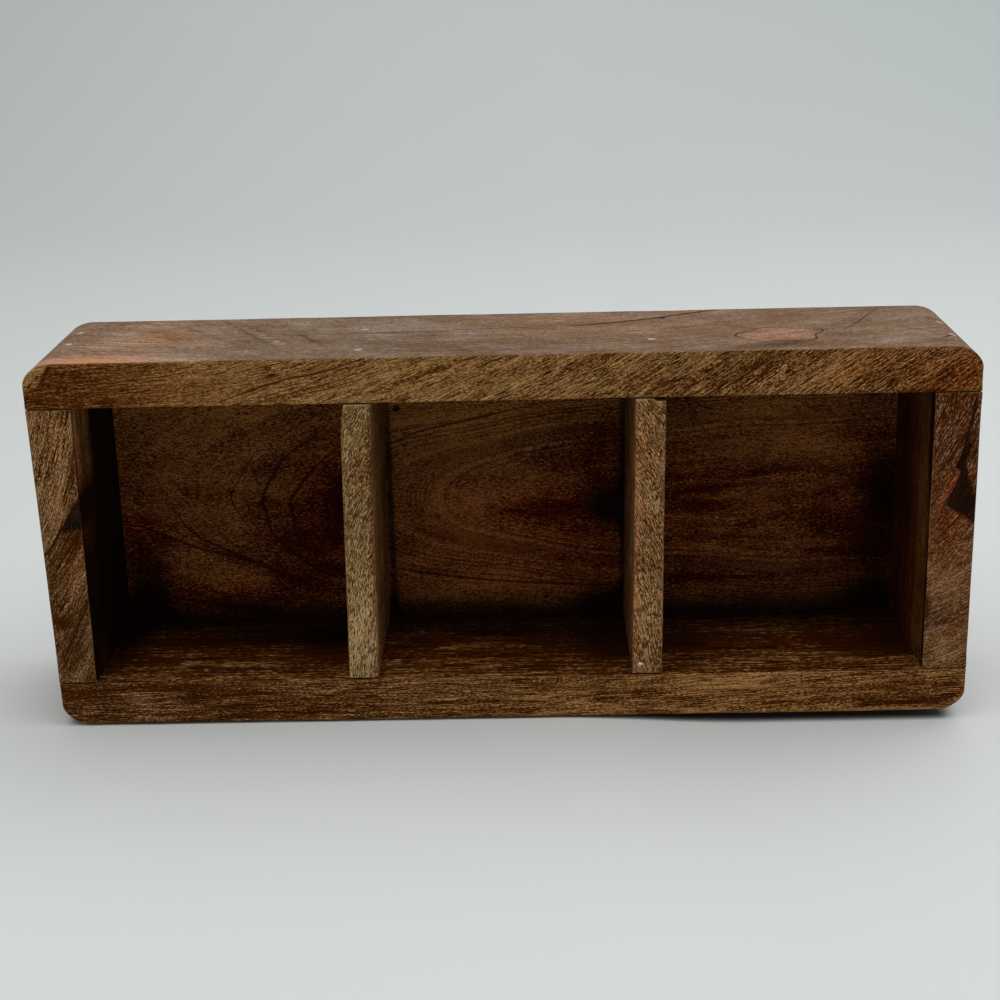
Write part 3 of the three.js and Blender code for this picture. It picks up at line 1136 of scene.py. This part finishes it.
@dataclass
class Studio:
    """A pale paper sweep under soft overhead light."""

    paper: Colour = (0.690, 0.712, 0.702)
    backdrop: Colour = (0.690, 0.716, 0.706)
    shaded_backdrop_right: Colour = (0.570, 0.612, 0.614)
    room: Colour = (0.96, 0.99, 1.0)
    room_level: float = 0.10
    room_sides: float = 0.75
    lamp_power: float = 26.5
    lamp_place: Triple = (0.20, -0.10, 1.35)
    lamp_size: Pair = (3.2, 1.6)
    half_width: float = 4.0
    near: float = -3.0
    bend_start: float = 1.0
    bend_radius: float = 0.9
    height: float = 3.0
    lift: float = 0.0006
    sag: float = 0.0030
    sag_reach: Pair = (0.015, 0.080)
    # Colour of the painted shadow on the paper under the box.
    shade: Colour = (0.10, 0.10, 0.10)
    covered: Pair = (0.1505, 0.0315)
    covered_edge: float = 0.006

    def paper_finish(self) -> bpy.types.Material:
        """Pale paper, with painted shade that darkens the backdrop towards the far right, and a painted
        shadow where the box covers it.
        """
        sheet = NodeSheet(bpy.data.materials.new("paper"))
        place = sheet.object_place()
        aside, depth, _ = sheet.parts(place)
        far = sheet.step(depth + (sheet.noise(place, scale=2.0) - 0.5) * 0.3, 0.3, 1.7)
        # Painted shade: the backdrop darkens towards the right.
        wall = sheet.blend(sheet.step(aside, -0.35, 0.65), self.backdrop, self.shaded_backdrop_right)
        # Painted shadow: the paper under the box is dark, and it shows where the paper sags away below the
        # box.
        ways = zip((aside, depth), self.covered)
        across, deep = (sheet.fall(abs(way), reach - self.covered_edge, reach) for way, reach in ways)
        colour = sheet.blend(across * deep, sheet.blend(far, self.paper, wall), self.shade)
        return sheet.surface({"Base Color": colour, "Roughness": 0.75})

    def sweep(self) -> bpy.types.Object:
        """The paper: a floor line, a quarter circle and a wall line, carried along X.

        It lies a hair under the box and sags in a smooth step under the right half, where a gap shows.

        Returns:
            The floor and backdrop as one object.
        """
        turn = np.linspace(0.0, math.pi / 2, 40)
        floor = np.linspace(self.near, self.bend_start, 30)[:-1]
        y = np.concatenate([floor, self.bend_start + self.bend_radius * np.sin(turn)])
        z = np.concatenate([np.zeros(len(floor)), self.bend_radius * (1.0 - np.cos(turn))])
        y = np.append(y, y[-1])
        z = np.append(z, self.height) - self.lift
        share = np.linspace(0.0, 1.0, 15)
        x = np.concatenate([[-self.half_width], np.linspace(*self.sag_reach, len(share)), [self.half_width]])
        low = np.concatenate([[0.0], self.sag * share * share * (3.0 - 2.0 * share), [self.sag]])
        deep = np.tile(z, len(x)) - np.repeat(low, len(y))
        points = np.stack([np.repeat(x, len(y)), np.tile(y, len(x)), deep], axis=1)
        i, j = np.meshgrid(np.arange(len(x) - 1), np.arange(len(y) - 1), indexing="ij")
        first = (i * len(y) + j).ravel()
        quads = np.stack([first, first + len(y), first + len(y) + 1, first + 1], axis=1)
        paper = smooth_object("paper_sweep", "paper_sweep", points, quads)
        paper.data.materials.append(self.paper_finish())
        return paper

    def light(self) -> None:
        """A wide lamp overhead that faces the box, and a room that is brighter at its sides than in front."""
        data = bpy.data.lights.new("overhead", "AREA")
        data.shape = "RECTANGLE"
        data.size, data.size_y = self.lamp_size
        data.energy = self.lamp_power
        lamp = bpy.data.objects.new("overhead", data)
        lamp.location = self.lamp_place
        lamp.rotation_euler = (-Vector(self.lamp_place)).to_track_quat("-Z", "Y").to_euler()
        bpy.context.scene.collection.objects.link(lamp)
        room = bpy.data.worlds.new("room")
        sheet = NodeSheet(room)
        aside, _, _ = sheet.parts(sheet.node("ShaderNodeTexCoord", None, None, "Generated"))
        strength = aside * aside * self.room_sides + self.room_level
        sockets = {"Color": (*self.room, 1.0), "Strength": strength}
        background = sheet.node("ShaderNodeBackground", None, sockets)
        sheet.node("ShaderNodeOutputWorld", None, {"Surface": background})
        bpy.context.scene.world = room


@dataclass
class PhotoCamera:
    """The camera, set from the box's edges in the photograph."""

    eye: Triple = (7.965, -593.645, 256.733)
    pitch: float = 17.74
    yaw: float = -0.937
    roll: float = 1.358
    focal_share: float = 1.825256
    sensor: float = 36.0
    clip: Pair = (0.01, 50.0)

    def place(self) -> bpy.types.Object:
        """Turns the camera down by the pitch, round by the yaw and about its own line by the roll.

        Returns:
            The camera.
        """
        pitch, yaw, roll = (math.radians(a) for a in (self.pitch, self.yaw, self.roll))
        ahead = Vector((math.sin(yaw) * math.cos(pitch), math.cos(yaw) * math.cos(pitch), -math.sin(pitch)))
        level = Vector((math.cos(yaw), -math.sin(yaw), 0.0))
        plumb = ahead.cross(level)
        right = math.cos(roll) * level + math.sin(roll) * plumb
        down = math.cos(roll) * plumb - math.sin(roll) * level
        data = bpy.data.cameras.new("photo_camera")
        data.sensor_width = self.sensor
        data.lens = self.sensor * self.focal_share
        data.clip_start, data.clip_end = self.clip
        camera = bpy.data.objects.new("photo_camera", data)
        turn = Matrix((right, -down, -ahead)).transposed().to_4x4()
        camera.matrix_world = Matrix.Translation(Vector(self.eye) * MM) @ turn
        bpy.context.scene.collection.objects.link(camera)
        bpy.context.scene.camera = camera
        return camera


def upper_side() -> UpperSide:
    """The upper side: ochre with climbing dark fibres, greyer on top from a painted sheen, with a long check
    and a round knot.
    """
    edge, top = Side.MOUTH, Side.TOP
    front, above = partial(Blotch, edge), partial(Blotch, top)
    long_check = ((-92.9, 110.4), (-83.5, 113.6), (-79.4, 114.8), (-75.6, 116.4), (-72, 117.1))
    long_check += ((-67.8, 118.6), (-61.4, 119.4), (-54, 121.1), (-44, 124.4))
    second_check = ((-79.7, 110.4), (-69.9, 113.1), (-62.5, 114.8), (-54.3, 116.8), (-46, 119.6))
    hook = ((46.1, 111.3), (49.3, 113.6), (52.9, 115.3), (57.2, 115.8), (60.6, 116.2))
    hook += ((61.5, 115.3), (60, 113.4), (57.9, 111.4))
    return UpperSide(
        "upper_side",
        "upper_side_wood",
        WoodFinish(clouding=0.52),
        blotches=(
            front((-140, 116), 30, 14, tone=-0.5, red=0.26),
            front((-144.8, 121.5), 4.5, 0.6, 57, tone=-0.8),
            front((-147.5, 121.2), 0.9, 0.5, 30, tone=-1.2),
            front((-150, 119.6), 0.8, 0.5, 50, tone=-1.2),
            front((-95, 117), 45, 14, tone=0.07, red=0.07, calm=0.3),
            front((-14, 117), 36, 14, tone=0.13, red=0.03, calm=0.1),
            front((95, 117), 75, 14, tone=-0.05, red=0.06, calm=-0.32),
            front((52, 114.2), 6.5, 1.2, 22, tone=-0.45, red=0.3),
            front((78, 117.5), 17, 4.5, 35, tone=-0.3),
            front((84, 118), 12, 0.8, 36, tone=-0.5, red=0.2),
            front((-73.7, 121.9), 1.3, 0.6, 10, tone=-1),
            front((-72.8, 119.6), 1.3, 0.6, 10, tone=-1),
            front((-20, 120.5), 14, 0.6, 20, tone=-0.45),
            front((-5, 116.5), 12, 0.6, 24, tone=-0.4),
            front((22, 119.5), 12, 0.7, 27, tone=-0.45),
            front((104, 120), 13, 3.5, 33, tone=0.26, red=0.1),
            front((112, 117.5), 11, 2.6, 30, tone=0.28, red=0.3),
            front((146, 116), 14, 9, 33, tone=-0.24, red=0.5),
            front((124, 117), 14, 12, tone=-0.28, red=0.14),
            # Painted shade in the dark inner corner at the right end of the mouth edge.
            front((133, 110), 7, 1.4, tone=-0.8),
            # Painted sheen: a grey veil and weaker grain over the whole top face; the grey of the top patches
            # below makes the sheen uneven.
            above((0, 0), 900, 900, grey=0.76, calm=0.64),
            above((75, 0), 95, 70, grey=-0.15, red=0.04, calm=0.06),
            above((90, -10.5), 11, 9, tone=0.06, red=0.15, grey=-0.18),
            *scattered(top, (-150, -30), (150, 30), 70, (16, 4), (-0.07, 0.05), 5, -25),
            *scattered(top, (-150, -30), (150, 30), 60, (9, 0.8), (-0.2, -0.04), 6, -50),
            above((-125, 0), 34, 40, tone=0.14, red=0.1, grey=-0.24),
            above((-112, 2), 16, 12, -12, tone=0.08, grey=-0.22),
            above((-140, 10), 8, 16, tone=-0.14, grey=0.1),
            above((-132, -31), 24, 8, tone=0.55, red=0.35, grey=-0.42),
            above((-83, 0), 10, 40, tone=-0.08, grey=0.12),
            above((20, 6), 26, 24, tone=0.04, grey=-0.14),
            above((-84, 5), 24, 0.7, -61, tone=-0.35),
            above((-80, 8), 18, 0.5, -58, tone=-0.28),
            above((-64, -2), 18, 0.7, -62, tone=-0.32),
            above((-100, 8), 20, 0.5, -52, tone=-0.25),
            above((-33, -16), 26, 6, -8, tone=-0.15, grey=0.15),
            above((-5, -20), 30, 9, 2, tone=-0.12, grey=0.12),
            above((40, 24), 30, 8, 10, red=0.15, tone=0.08),
            above((87, -25), 15, 4.5, 4, tone=-0.34, grey=0.2),
            above((119, 14), 24, 2.6, 55, tone=-0.12, grey=0.06),
            above((112, -12), 10, 3, 8, tone=-0.12),
            above((54.6, 18.7), 1.8, 1.6, knot=0.9),
            above((-74, -6), 0.5, 0.9, tone=1.2),
        ),
        cracks=(
            Crack(edge, long_check, 0.42, 14),
            Crack(edge, second_check, 0.26, 14),
            Crack(edge, ((-72.4, 110), (-65.4, 113.1), (-60.8, 113.8), (-54.4, 115.1), (-44, 118)), 0.24, 14),
            Crack(edge, ((-80.4, 120.3), (-77.6, 122.1), (-70.2, 123.4), (-66.1, 124.2)), 0.26, 8),
            Crack(edge, hook, 0.5, 6),
            Crack(edge, ((91.3, 125.5), (83.9, 121), (77.7, 117.4), (72.4, 113.7), (68.3, 111.2)), 0.5, 10),
            Crack(edge, ((85.9, 124.2), (80.8, 120.3), (73.5, 116.2)), 0.34, 8),
            Crack(top, ((-60, 2), (-20.6, 6.3), (24, 8.6)), 0.45, 30),
            Crack(top, ((20, 8.2), (34, 11), (52, 18.5), (64, 25.5), (77, 31.4)), 1.15, 10),
            Crack(top, ((105, -14), (114, -4), (131, 31)), 0.35, 20),
            Crack(top, ((142.5, -19), (147.5, -12)), 0.6, 1),
        ),
        eyes=(Eye(top, (90, -10.5), (12.5, 10.5), 0.4, 0.14, 0.15),),
        wedges=(
            Wedge(edge, ((-157, 117.8), (-147.7, 117.8), (-142.5, 126), (-157, 127)), 0.8, 0, 0.55, -0.2),
        ),
        mottle=0.1,
        brads="upper_brad",
        bare_brad="upper_brad_right_divider_back",
        seed=11,
    )


def lower_side() -> LowerSide:
    """The lower side: brown with level streaks, dark inside, with painted light near the mouth and painted
    shade towards the panel.
    """
    edge, inside = Side.MOUTH, Side.TOP
    front, floor = partial(Blotch, edge), partial(Blotch, inside)
    return LowerSide(
        "lower_side",
        "lower_side_wood",
        WoodFinish(
            offset=7.3, contrast=1.05, clouding=0.8, fibre_length=26, thread_length=9, pore_length=14
        ),
        blotches=(
            front((0, 7), 900, 90, tone=-0.06, red=0.08),
            front((-120, 7), 60, 14, tone=-0.58, red=0.02, grey=0.1),
            *scattered(edge, (-150, 1), (150, 14), 80, (20, 0.9), (-0.42, 0.42), 9),
            front((-122, 8), 7, 4, tone=0.55),
            front((95, 7), 50, 14, tone=0.08, red=0.1, calm=-0.2),
            front((137, 3.4), 16, 1.2, 3, tone=-0.9),
            front((134, 9), 14, 6, tone=-0.42, red=0.06),
            front((130, 1), 20, 0.9, tone=0.6),
            floor((0, 0), 900, 900, tone=-0.62, red=0.2),
            # Painted light along the inner face near the mouth.
            floor((0, -24), 900, 9, tone=0.42, red=-0.1),
            floor((0, -8), 900, 6, tone=-0.12, red=0.1),
            *scattered(inside, (-136, -30), (136, 8), 110, (11, 1.8), (-0.5, 0.45), 8),
            floor((-62, -19), 9, 7, tone=-0.45),
            floor((-62, 0), 9, 14, tone=-0.45, grime=0.3),
            floor((-106, 3), 22, 8, tone=-0.42, grime=0.1),
            floor((-126, -17), 14, 7, tone=-0.42),
            floor((-90, -18), 18, 6, tone=0.34, red=-0.1),
            floor((2, -16), 20, 7, tone=-0.28),
            floor((35, -6), 13, 20, tone=-0.75, grime=0.45),
            floor((61, -5), 8, 6, tone=-0.8, grime=0.4),
            floor((122, -10), 18, 8, tone=-0.6),
            floor((133, -3), 10, 14, tone=-0.5, grime=0.4),
            # Painted shade along the back of the inner face, at the panel's foot.
            floor((0, 26), 900, 22, grime=0.78),
            floor((-72, 6), 26, 9, grime=0.4),
            floor((2, 8), 18, 7, grime=0.4),
            floor((88, 4), 20, 8, tone=0.26, grime=-0.16),
            # Painted shade in the corner by the left end.
            floor((-136, 0), 8, 50, grime=0.52),
        ),
        mottle=0.22,
        brads="lower_brad",
        brad_side=Side.UNDER,
        seed=23,
    )


def left_end() -> LeftEnd:
    """The left end: steep ochre streaks over a dark knot, and a nearly black inner face."""
    edge = Side.MOUTH
    front, inner = partial(Blotch, edge), partial(Blotch, Side.RIGHT)
    return LeftEnd(
        "left_end",
        "left_end_wood",
        WoodFinish(
            offset=13.1,
            contrast=1.15,
            clouding=0.3,
            fibre_length=24,
            thread_length=9,
            pore_length=13,
            split=(0.012, 0.004, 0.0018),
        ),
        lean_heights=(15, 50, 62, 78, 110),
        lean_degrees=(34, 36, 34, 24, 14),
        blotches=(
            front((-145, 62), 90, 90, grey=0.1),
            front((-145, 100), 20, 16, tone=-0.1, red=0.1, calm=-0.15),
            front((-146, 75), 10, 4, 58, tone=0.15, red=0.2),
            front((-143, 64), 10, 4.5, 55, tone=-0.8),
            front((-141, 55), 10, 4, 60, tone=0.05, red=0.25),
            front((-145, 30), 22, 20, tone=-0.5, grey=0.16, calm=0.26),
            front((-148.5, 37), 3, 1.5, -10, tone=-0.9),
            front((-143.5, 34), 13, 0.8, 62, tone=-0.9),
            front((-141.5, 33), 11, 0.6, 62, tone=-0.6),
            front((-139, 88), 12, 0.7, 80, tone=-0.7),
            inner((25, 62), 22, 120, grime=8),
            inner((-30, 95), 9, 25, tone=0.1, red=0.2),
            inner((-30, 40), 24, 42, tone=-0.9, red=0.6, grime=0.92),
            inner((-24, 76), 9, 5, grime=1),
            inner((-31.5, 62), 1, 120, grime=0.8),
        ),
        cracks=(Crack(edge, ((-152, 60), (-146, 67), (-138.2, 79.5)), 0.55, 1),),
        wedges=(Wedge(edge, ((-145.5, 68.5), (-134.5, 69.5), (-137, 82)), 3),),
        seed=31,
    )


def right_end() -> Upright:
    """The right end: reddish streaks that level out downwards, and a black wedge-shaped knot."""
    edge = Side.MOUTH
    front, inner = partial(Blotch, edge), partial(Blotch, Side.LEFT)
    return Upright(
        "right_end",
        "right_end_wood",
        WoodFinish(
            offset=19.7,
            contrast=0.95,
            pore_share=0.57,
            fibre_length=16,
            fibre_width=0.29,
            thread_length=6,
            thread_width=0.25,
            glint=0.05,
            split=(0.01, 0.003, 0.0016),
        ),
        rebate_way=1,
        lean_heights=(20, 45, 62, 80, 110),
        lean_degrees=(66, 58, 44, 30, 16),
        blotches=(
            front((145, 60), 90, 90, tone=-0.26, grey=0.22),
            front((145, 100), 20, 17, tone=-0.34, red=0.34, grey=0.18, calm=-0.55),
            front((141, 92), 8, 3, 75, tone=0.1),
            front((145, 76), 14, 10, tone=-0.12, red=0.4),
            front((144, 80), 9, 1.2, 70, tone=0.2, red=0.45),
            front((145, 60), 8, 10, tone=-0.02, red=0.3),
            front((150.5, 92), 3, 6, tone=-0.4),
            front((139.5, 32.6), 5, 4, tone=-0.3, grey=0.55),
            front((145, 35), 30, 25, tone=-0.02, red=0.12, calm=0.2),
            front((146, 26), 9, 12, tone=0.08),
            inner((-31.5, 98), 4, 16, grime=1.6),
            inner((-31.5, 35), 2, 26, grime=1.2),
            inner((-31.5, 62), 12, 120, grime=0.25),
            front((137.8, 37), 1.2, 3.5, tone=-1.2),
            # Painted shade: the inner face darkens towards the back of the bay.
            inner((10, 62), 40, 120, tone=-0.66, red=0.65, grime=0.56),
        ),
        cracks=(Crack(edge, ((145.3, 84.8), (147.8, 91.7), (149.3, 98.3), (150.8, 108)), 0.8, 1.2),),
        wedges=(
            Wedge(edge, ((145, 84.5), (147.5, 84), (150.3, 93), (148.8, 93.5)), 0.8),
            Wedge(edge, ((142, 72.3), (154.5, 64.5), (148.5, 87.5)), 3),
            Wedge(edge, ((146, 70), (156, 64), (156, 82)), 4),
        ),
        seed=43,
    )


def dividers() -> list[Divider]:
    """Both dividers: khaki with dark pores that lean right in the left one and left in the right one."""
    finish = WoodFinish(
        deep=(0.092, 0.034, 0.005),
        middle=(0.27, 0.152, 0.055),
        light=(0.52, 0.345, 0.16),
        fibre_width=0.3,
        fibre_length=5.5,
        thread_width=0.26,
        thread_length=2.8,
        pore_width=0.25,
        pore_length=3.2,
        pore_share=0.535,
        contrast=1.18,
        speckle=3.7,
        glint=0.3,
        hair=0.4,
        offset=29.3,
    )
    front = partial(Blotch, Side.MOUTH)
    # Painted shade: the dividers' side faces darken towards the back of the bays.
    insides = tuple(
        Blotch(side, (10, 62), 60, 120, tone=-0.45, red=0.3, grime=0.3)
        for side in (Side.LEFT, Side.RIGHT)
    )
    left = Divider(
        "left_divider",
        "divider_wood",
        finish,
        lean_heights=(15, 60, 110),
        lean_degrees=(8, 16, 32),
        blotches=(
            front((-47.5, 110), 20, 0.8, tone=0.7),
            front((-48.5, 32), 16, 2.2, 80, tone=0.35),
            front((-47.5, 88), 14, 26, tone=-0.14, calm=0.2),
            front((-47.5, 36), 14, 22, tone=0.12),
            front((-42.8, 62), 60, 0.9, 90, tone=-0.6),
            *insides,
        ),
        shift_foot=-0.5,
        shift_head=0.7,
        cut_width=1.3,
        seed=53,
    )
    right = Divider(
        "right_divider",
        "divider_wood",
        finish,
        lean_heights=(15, 60, 110),
        lean_degrees=(-10, -20, -36),
        blotches=(
            front((47.5, 110), 20, 0.8, tone=0.7),
            front((43.5, 65), 50, 1.6, 90, tone=0.2, red=0.35),
            front((47.5, 62), 90, 90, tone=-0.18, red=0.12),
            *insides,
        ),
        shift_foot=-1,
        chip_start=5.8,
        chip_depth=0.9,
        brads="toe_brad",
        brad_side=Side.MOUTH,
        brad_share=(0.5, 0.93),
        dent_depth=0.9,
        dent_radius=1.1,
        seed=61,
    )
    return [left, right]


def back_panel() -> BackPanel:
    """The panel: dark red-brown with thin arched lines and an amber heart."""
    face = Side.MOUTH
    front = partial(Blotch, face)
    arches = ((104, 0.3), (95, 0.4), (70, 0.4), (58, 0.6), (49, 0.7), (45, 0.7), (40, 0.5), (36, 0.5))
    arches += tuple((place, 0.55) for place in np.arange(15, 31, 1.7))
    arches += ((9, 0.6), (4, 0.4), (-6, 0.3))
    outer_arch = ((-66.7, 83.5), (-77.6, 77.2), (-83.6, 67.9), (-86.3, 63), (-86.9, 58.9), (-85.3, 53.9))
    outer_arch += ((-84.8, 48.9), (-82.6, 45.5), (-77.3, 40.4), (-68.2, 33), (-62.3, 30.8))
    inner_arch = ((-58.7, 79.3), (-69.3, 70.9), (-73.6, 64.4), (-77.4, 59.6), (-75.8, 52.9), (-76.2, 47.1))
    inner_arch += ((-70.2, 40.2), (-64.8, 36.8))
    long_tail = ((-122.3, 60.8), (-118.3, 56.2), (-113.4, 48.6), (-105.7, 43.9), (-88.8, 35.9))
    long_tail += ((-73.2, 28.5), (-67.8, 25.8))
    return BackPanel(
        "back_panel",
        "panel_wood",
        ArchedFinish(
            deep=(0.032, 0.004, 0.0004),
            middle=(0.186, 0.056, 0.0105),
            light=(0.385, 0.155, 0.044),
            pore=(0.022, 0.003, 0.0006),
            split=(0.024, 0.004, 0.001),
            contrast=1.15,
            clouding=1,
            ring_width=5,
            ring_lines=0.2,
            fibre_length=3.6,
            thread_length=1.4,
            pore_length=1.6,
            pore_share=0.59,
            glint=0.1,
            hair=0.3,
            offset=37.9,
            arches=arches,
            arch_width=0.6,
        ),
        blotches=(
            front((0, 60), 900, 90, tone=-0.14),
            # Painted shadow: thin dark strips on the panel beside each divider.
            front((-41.2, 62), 1.5, 90, grime=0.85),
            front((41.8, 62), 1.8, 90, grime=0.8),
            front((-107, 78), 28, 20, tone=0.14),
            front((-128, 52.5), 14, 1.8, -8, tone=-0.4, red=0.5),
            front((-126, 47), 12, 1.6, -12, tone=-0.4, red=0.5),
            front((-130, 38), 10, 10, tone=-0.25, red=0.4, grime=0.2),
            front((-103, 33), 16, 5, -6, tone=0.22),
            front((-93, 23), 38, 6, tone=-0.4, red=0.4),
            front((-60, 57), 4.5, 10, tone=-0.8, red=0.3),
            front((-67, 58), 12, 22, tone=-0.22, red=0.4),
            front((-57, 77), 7, 8, tone=-0.2, red=0.6),
            front((-97.9, 63.5), 1.8, 1, knot=1),
            # Painted light: a lighter band along the top of the panel.
            front((0, 96), 900, 14, tone=0.2, red=-0.15),
            # Painted shade along the panel's left edge, by the left end.
            front((-130, 27), 10, 13, tone=-0.25, grime=0.65),
            front((-131, 62), 7, 36, tone=-0.2, red=0.1),
            front((-74, 41), 18, 19, tone=-0.48, red=0.1),
            front((-102, 62), 14, 9, tone=0.14, red=-0.1),
            front((-18, 82), 25, 12, tone=0.58, red=-0.15),
            front((-19, 57), 19, 11, tone=0.48, red=0.12, calm=0.25),
            front((-10, 41), 26, 7, tone=0.42, red=0.3, calm=0.15),
            front((-5, 27), 32, 6, tone=0.38, red=0.25),
            front((23, 54), 19, 11, tone=-0.46, red=0.55),
            front((28, 34), 16, 9, tone=-0.1, red=0.35),
            *scattered(face, (54, 20), (136, 108), 60, (16, 1.7), (-0.42, 0.26), 12),
            *scattered(face, (-136, 18), (-60, 46), 30, (12, 1.6), (-0.4, 0.2), 13, -8),
            front((-25.5, 46), 6, 0.9, -20, tone=-0.6, red=0.3),
            front((3, 54.3), 11, 0.9, -8, tone=-0.55, red=0.3),
            front((22, 56), 16, 2.5, -2, tone=-0.45, red=0.4),
            front((37, 56), 10, 9, grime=1.1),
            front((34, 77), 14, 10, tone=-0.6, red=0.3, grime=0.1),
            front((37, 20), 12, 8, grime=0.5),
            front((96, 62), 55, 60, tone=-0.06, red=0.05, calm=0.16),
            front((62, 93), 14, 5, tone=-0.55, red=0.2),
            front((72, 61.5), 14, 1.6, 5, tone=-0.8, red=0.4),
            front((73, 55.5), 14, 2, tone=-0.7, red=0.4),
            front((88, 66.5), 12, 1, 8, tone=-0.6, red=0.3),
            front((76, 28), 22, 1.4, -1, tone=-0.8, red=0.4),
            front((85, 43), 20, 1.2, tone=-0.5, red=0.3),
            front((72, 76), 15, 7, tone=-0.06, red=0.15),
            front((104, 76), 12, 7, tone=0.28, red=-0.1),
            front((100, 37), 13, 9, tone=0.14, red=-0.1),
            front((114, 48), 16, 13, tone=-0.36, red=0.2),
            # Painted shade along the panel's right edge, by the right end.
            front((131, 62), 8, 36, tone=-0.4, red=0.3),
            front((64, 55), 9, 18, tone=-0.14, red=0.3),
            # Painted shade in the corners by the right end, here and in the next patch.
            front((136, 57), 12, 20, grime=1),
            front((133, 24), 14, 10, grime=0.5),
            front((85, 88), 34, 8, tone=0.26, red=-0.1),
            front((130, 37), 8, 7, tone=-0.3, grime=0.2),
            front((77, 38), 12, 6, tone=0.22),
            # Painted shade along the panel's foot.
            front((0, 13), 900, 10.5, grime=0.9),
        ),
        cracks=(
            Crack(face, outer_arch, 0.85, 24),
            Crack(face, ((-58, 94.5), (-65.9, 91.5), (-77.1, 84.9), (-82, 81.3)), 0.28),
            Crack(face, inner_arch, 0.8, 16),
            Crack(face, ((-59.4, 65.4), (-64.8, 59.7), (-63.8, 56), (-63.5, 46.8)), 0.9),
            Crack(face, long_tail, 0.7, 16),
            Crack(face, ((-135.7, 52), (-129, 51), (-113.8, 43.2), (-102, 40), (-89.6, 36)), 0.65, 14),
            Crack(face, ((-90.3, 74.6), (-97.7, 63.7), (-98.3, 60.4), (-91.9, 49), (-89, 45.6)), 0.4, 14),
            Crack(face, ((-39.6, 80.7), (-29.7, 85.1), (-12, 88.3), (2.1, 91.7)), 0.45),
            Crack(face, ((-41.5, 33.8), (-26.3, 30.7), (4.4, 27.2), (40.5, 25.5)), 0.55),
        ),
        brads="panel_pin",
        brad_side=Side.BACK,
        arris=0.5,
        seed=71,
    )


def boards() -> list[Board]:
    """The seven boards in the order that they are nailed up."""
    return [back_panel(), left_end(), right_end(), *dividers(), upper_side(), lower_side()]


def main() -> None:
    """Sets the camera and studio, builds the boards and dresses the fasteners."""
    logging.basicConfig(level=logging.INFO, format="%(message)s")
    bpy.context.scene.view_settings.view_transform = "Standard"
    PhotoCamera().place()
    studio = Studio()
    studio.sweep()
    studio.light()
    for board in boards():
        board.build()
    rust = SteelFinish((0.10, 0.06, 0.04), (0.05, 0.03, 0.02))
    Fasteners(SteelFinish(), rust, "upper_brad_right_divider_back").dress()


if __name__ == "__main__":
    main()
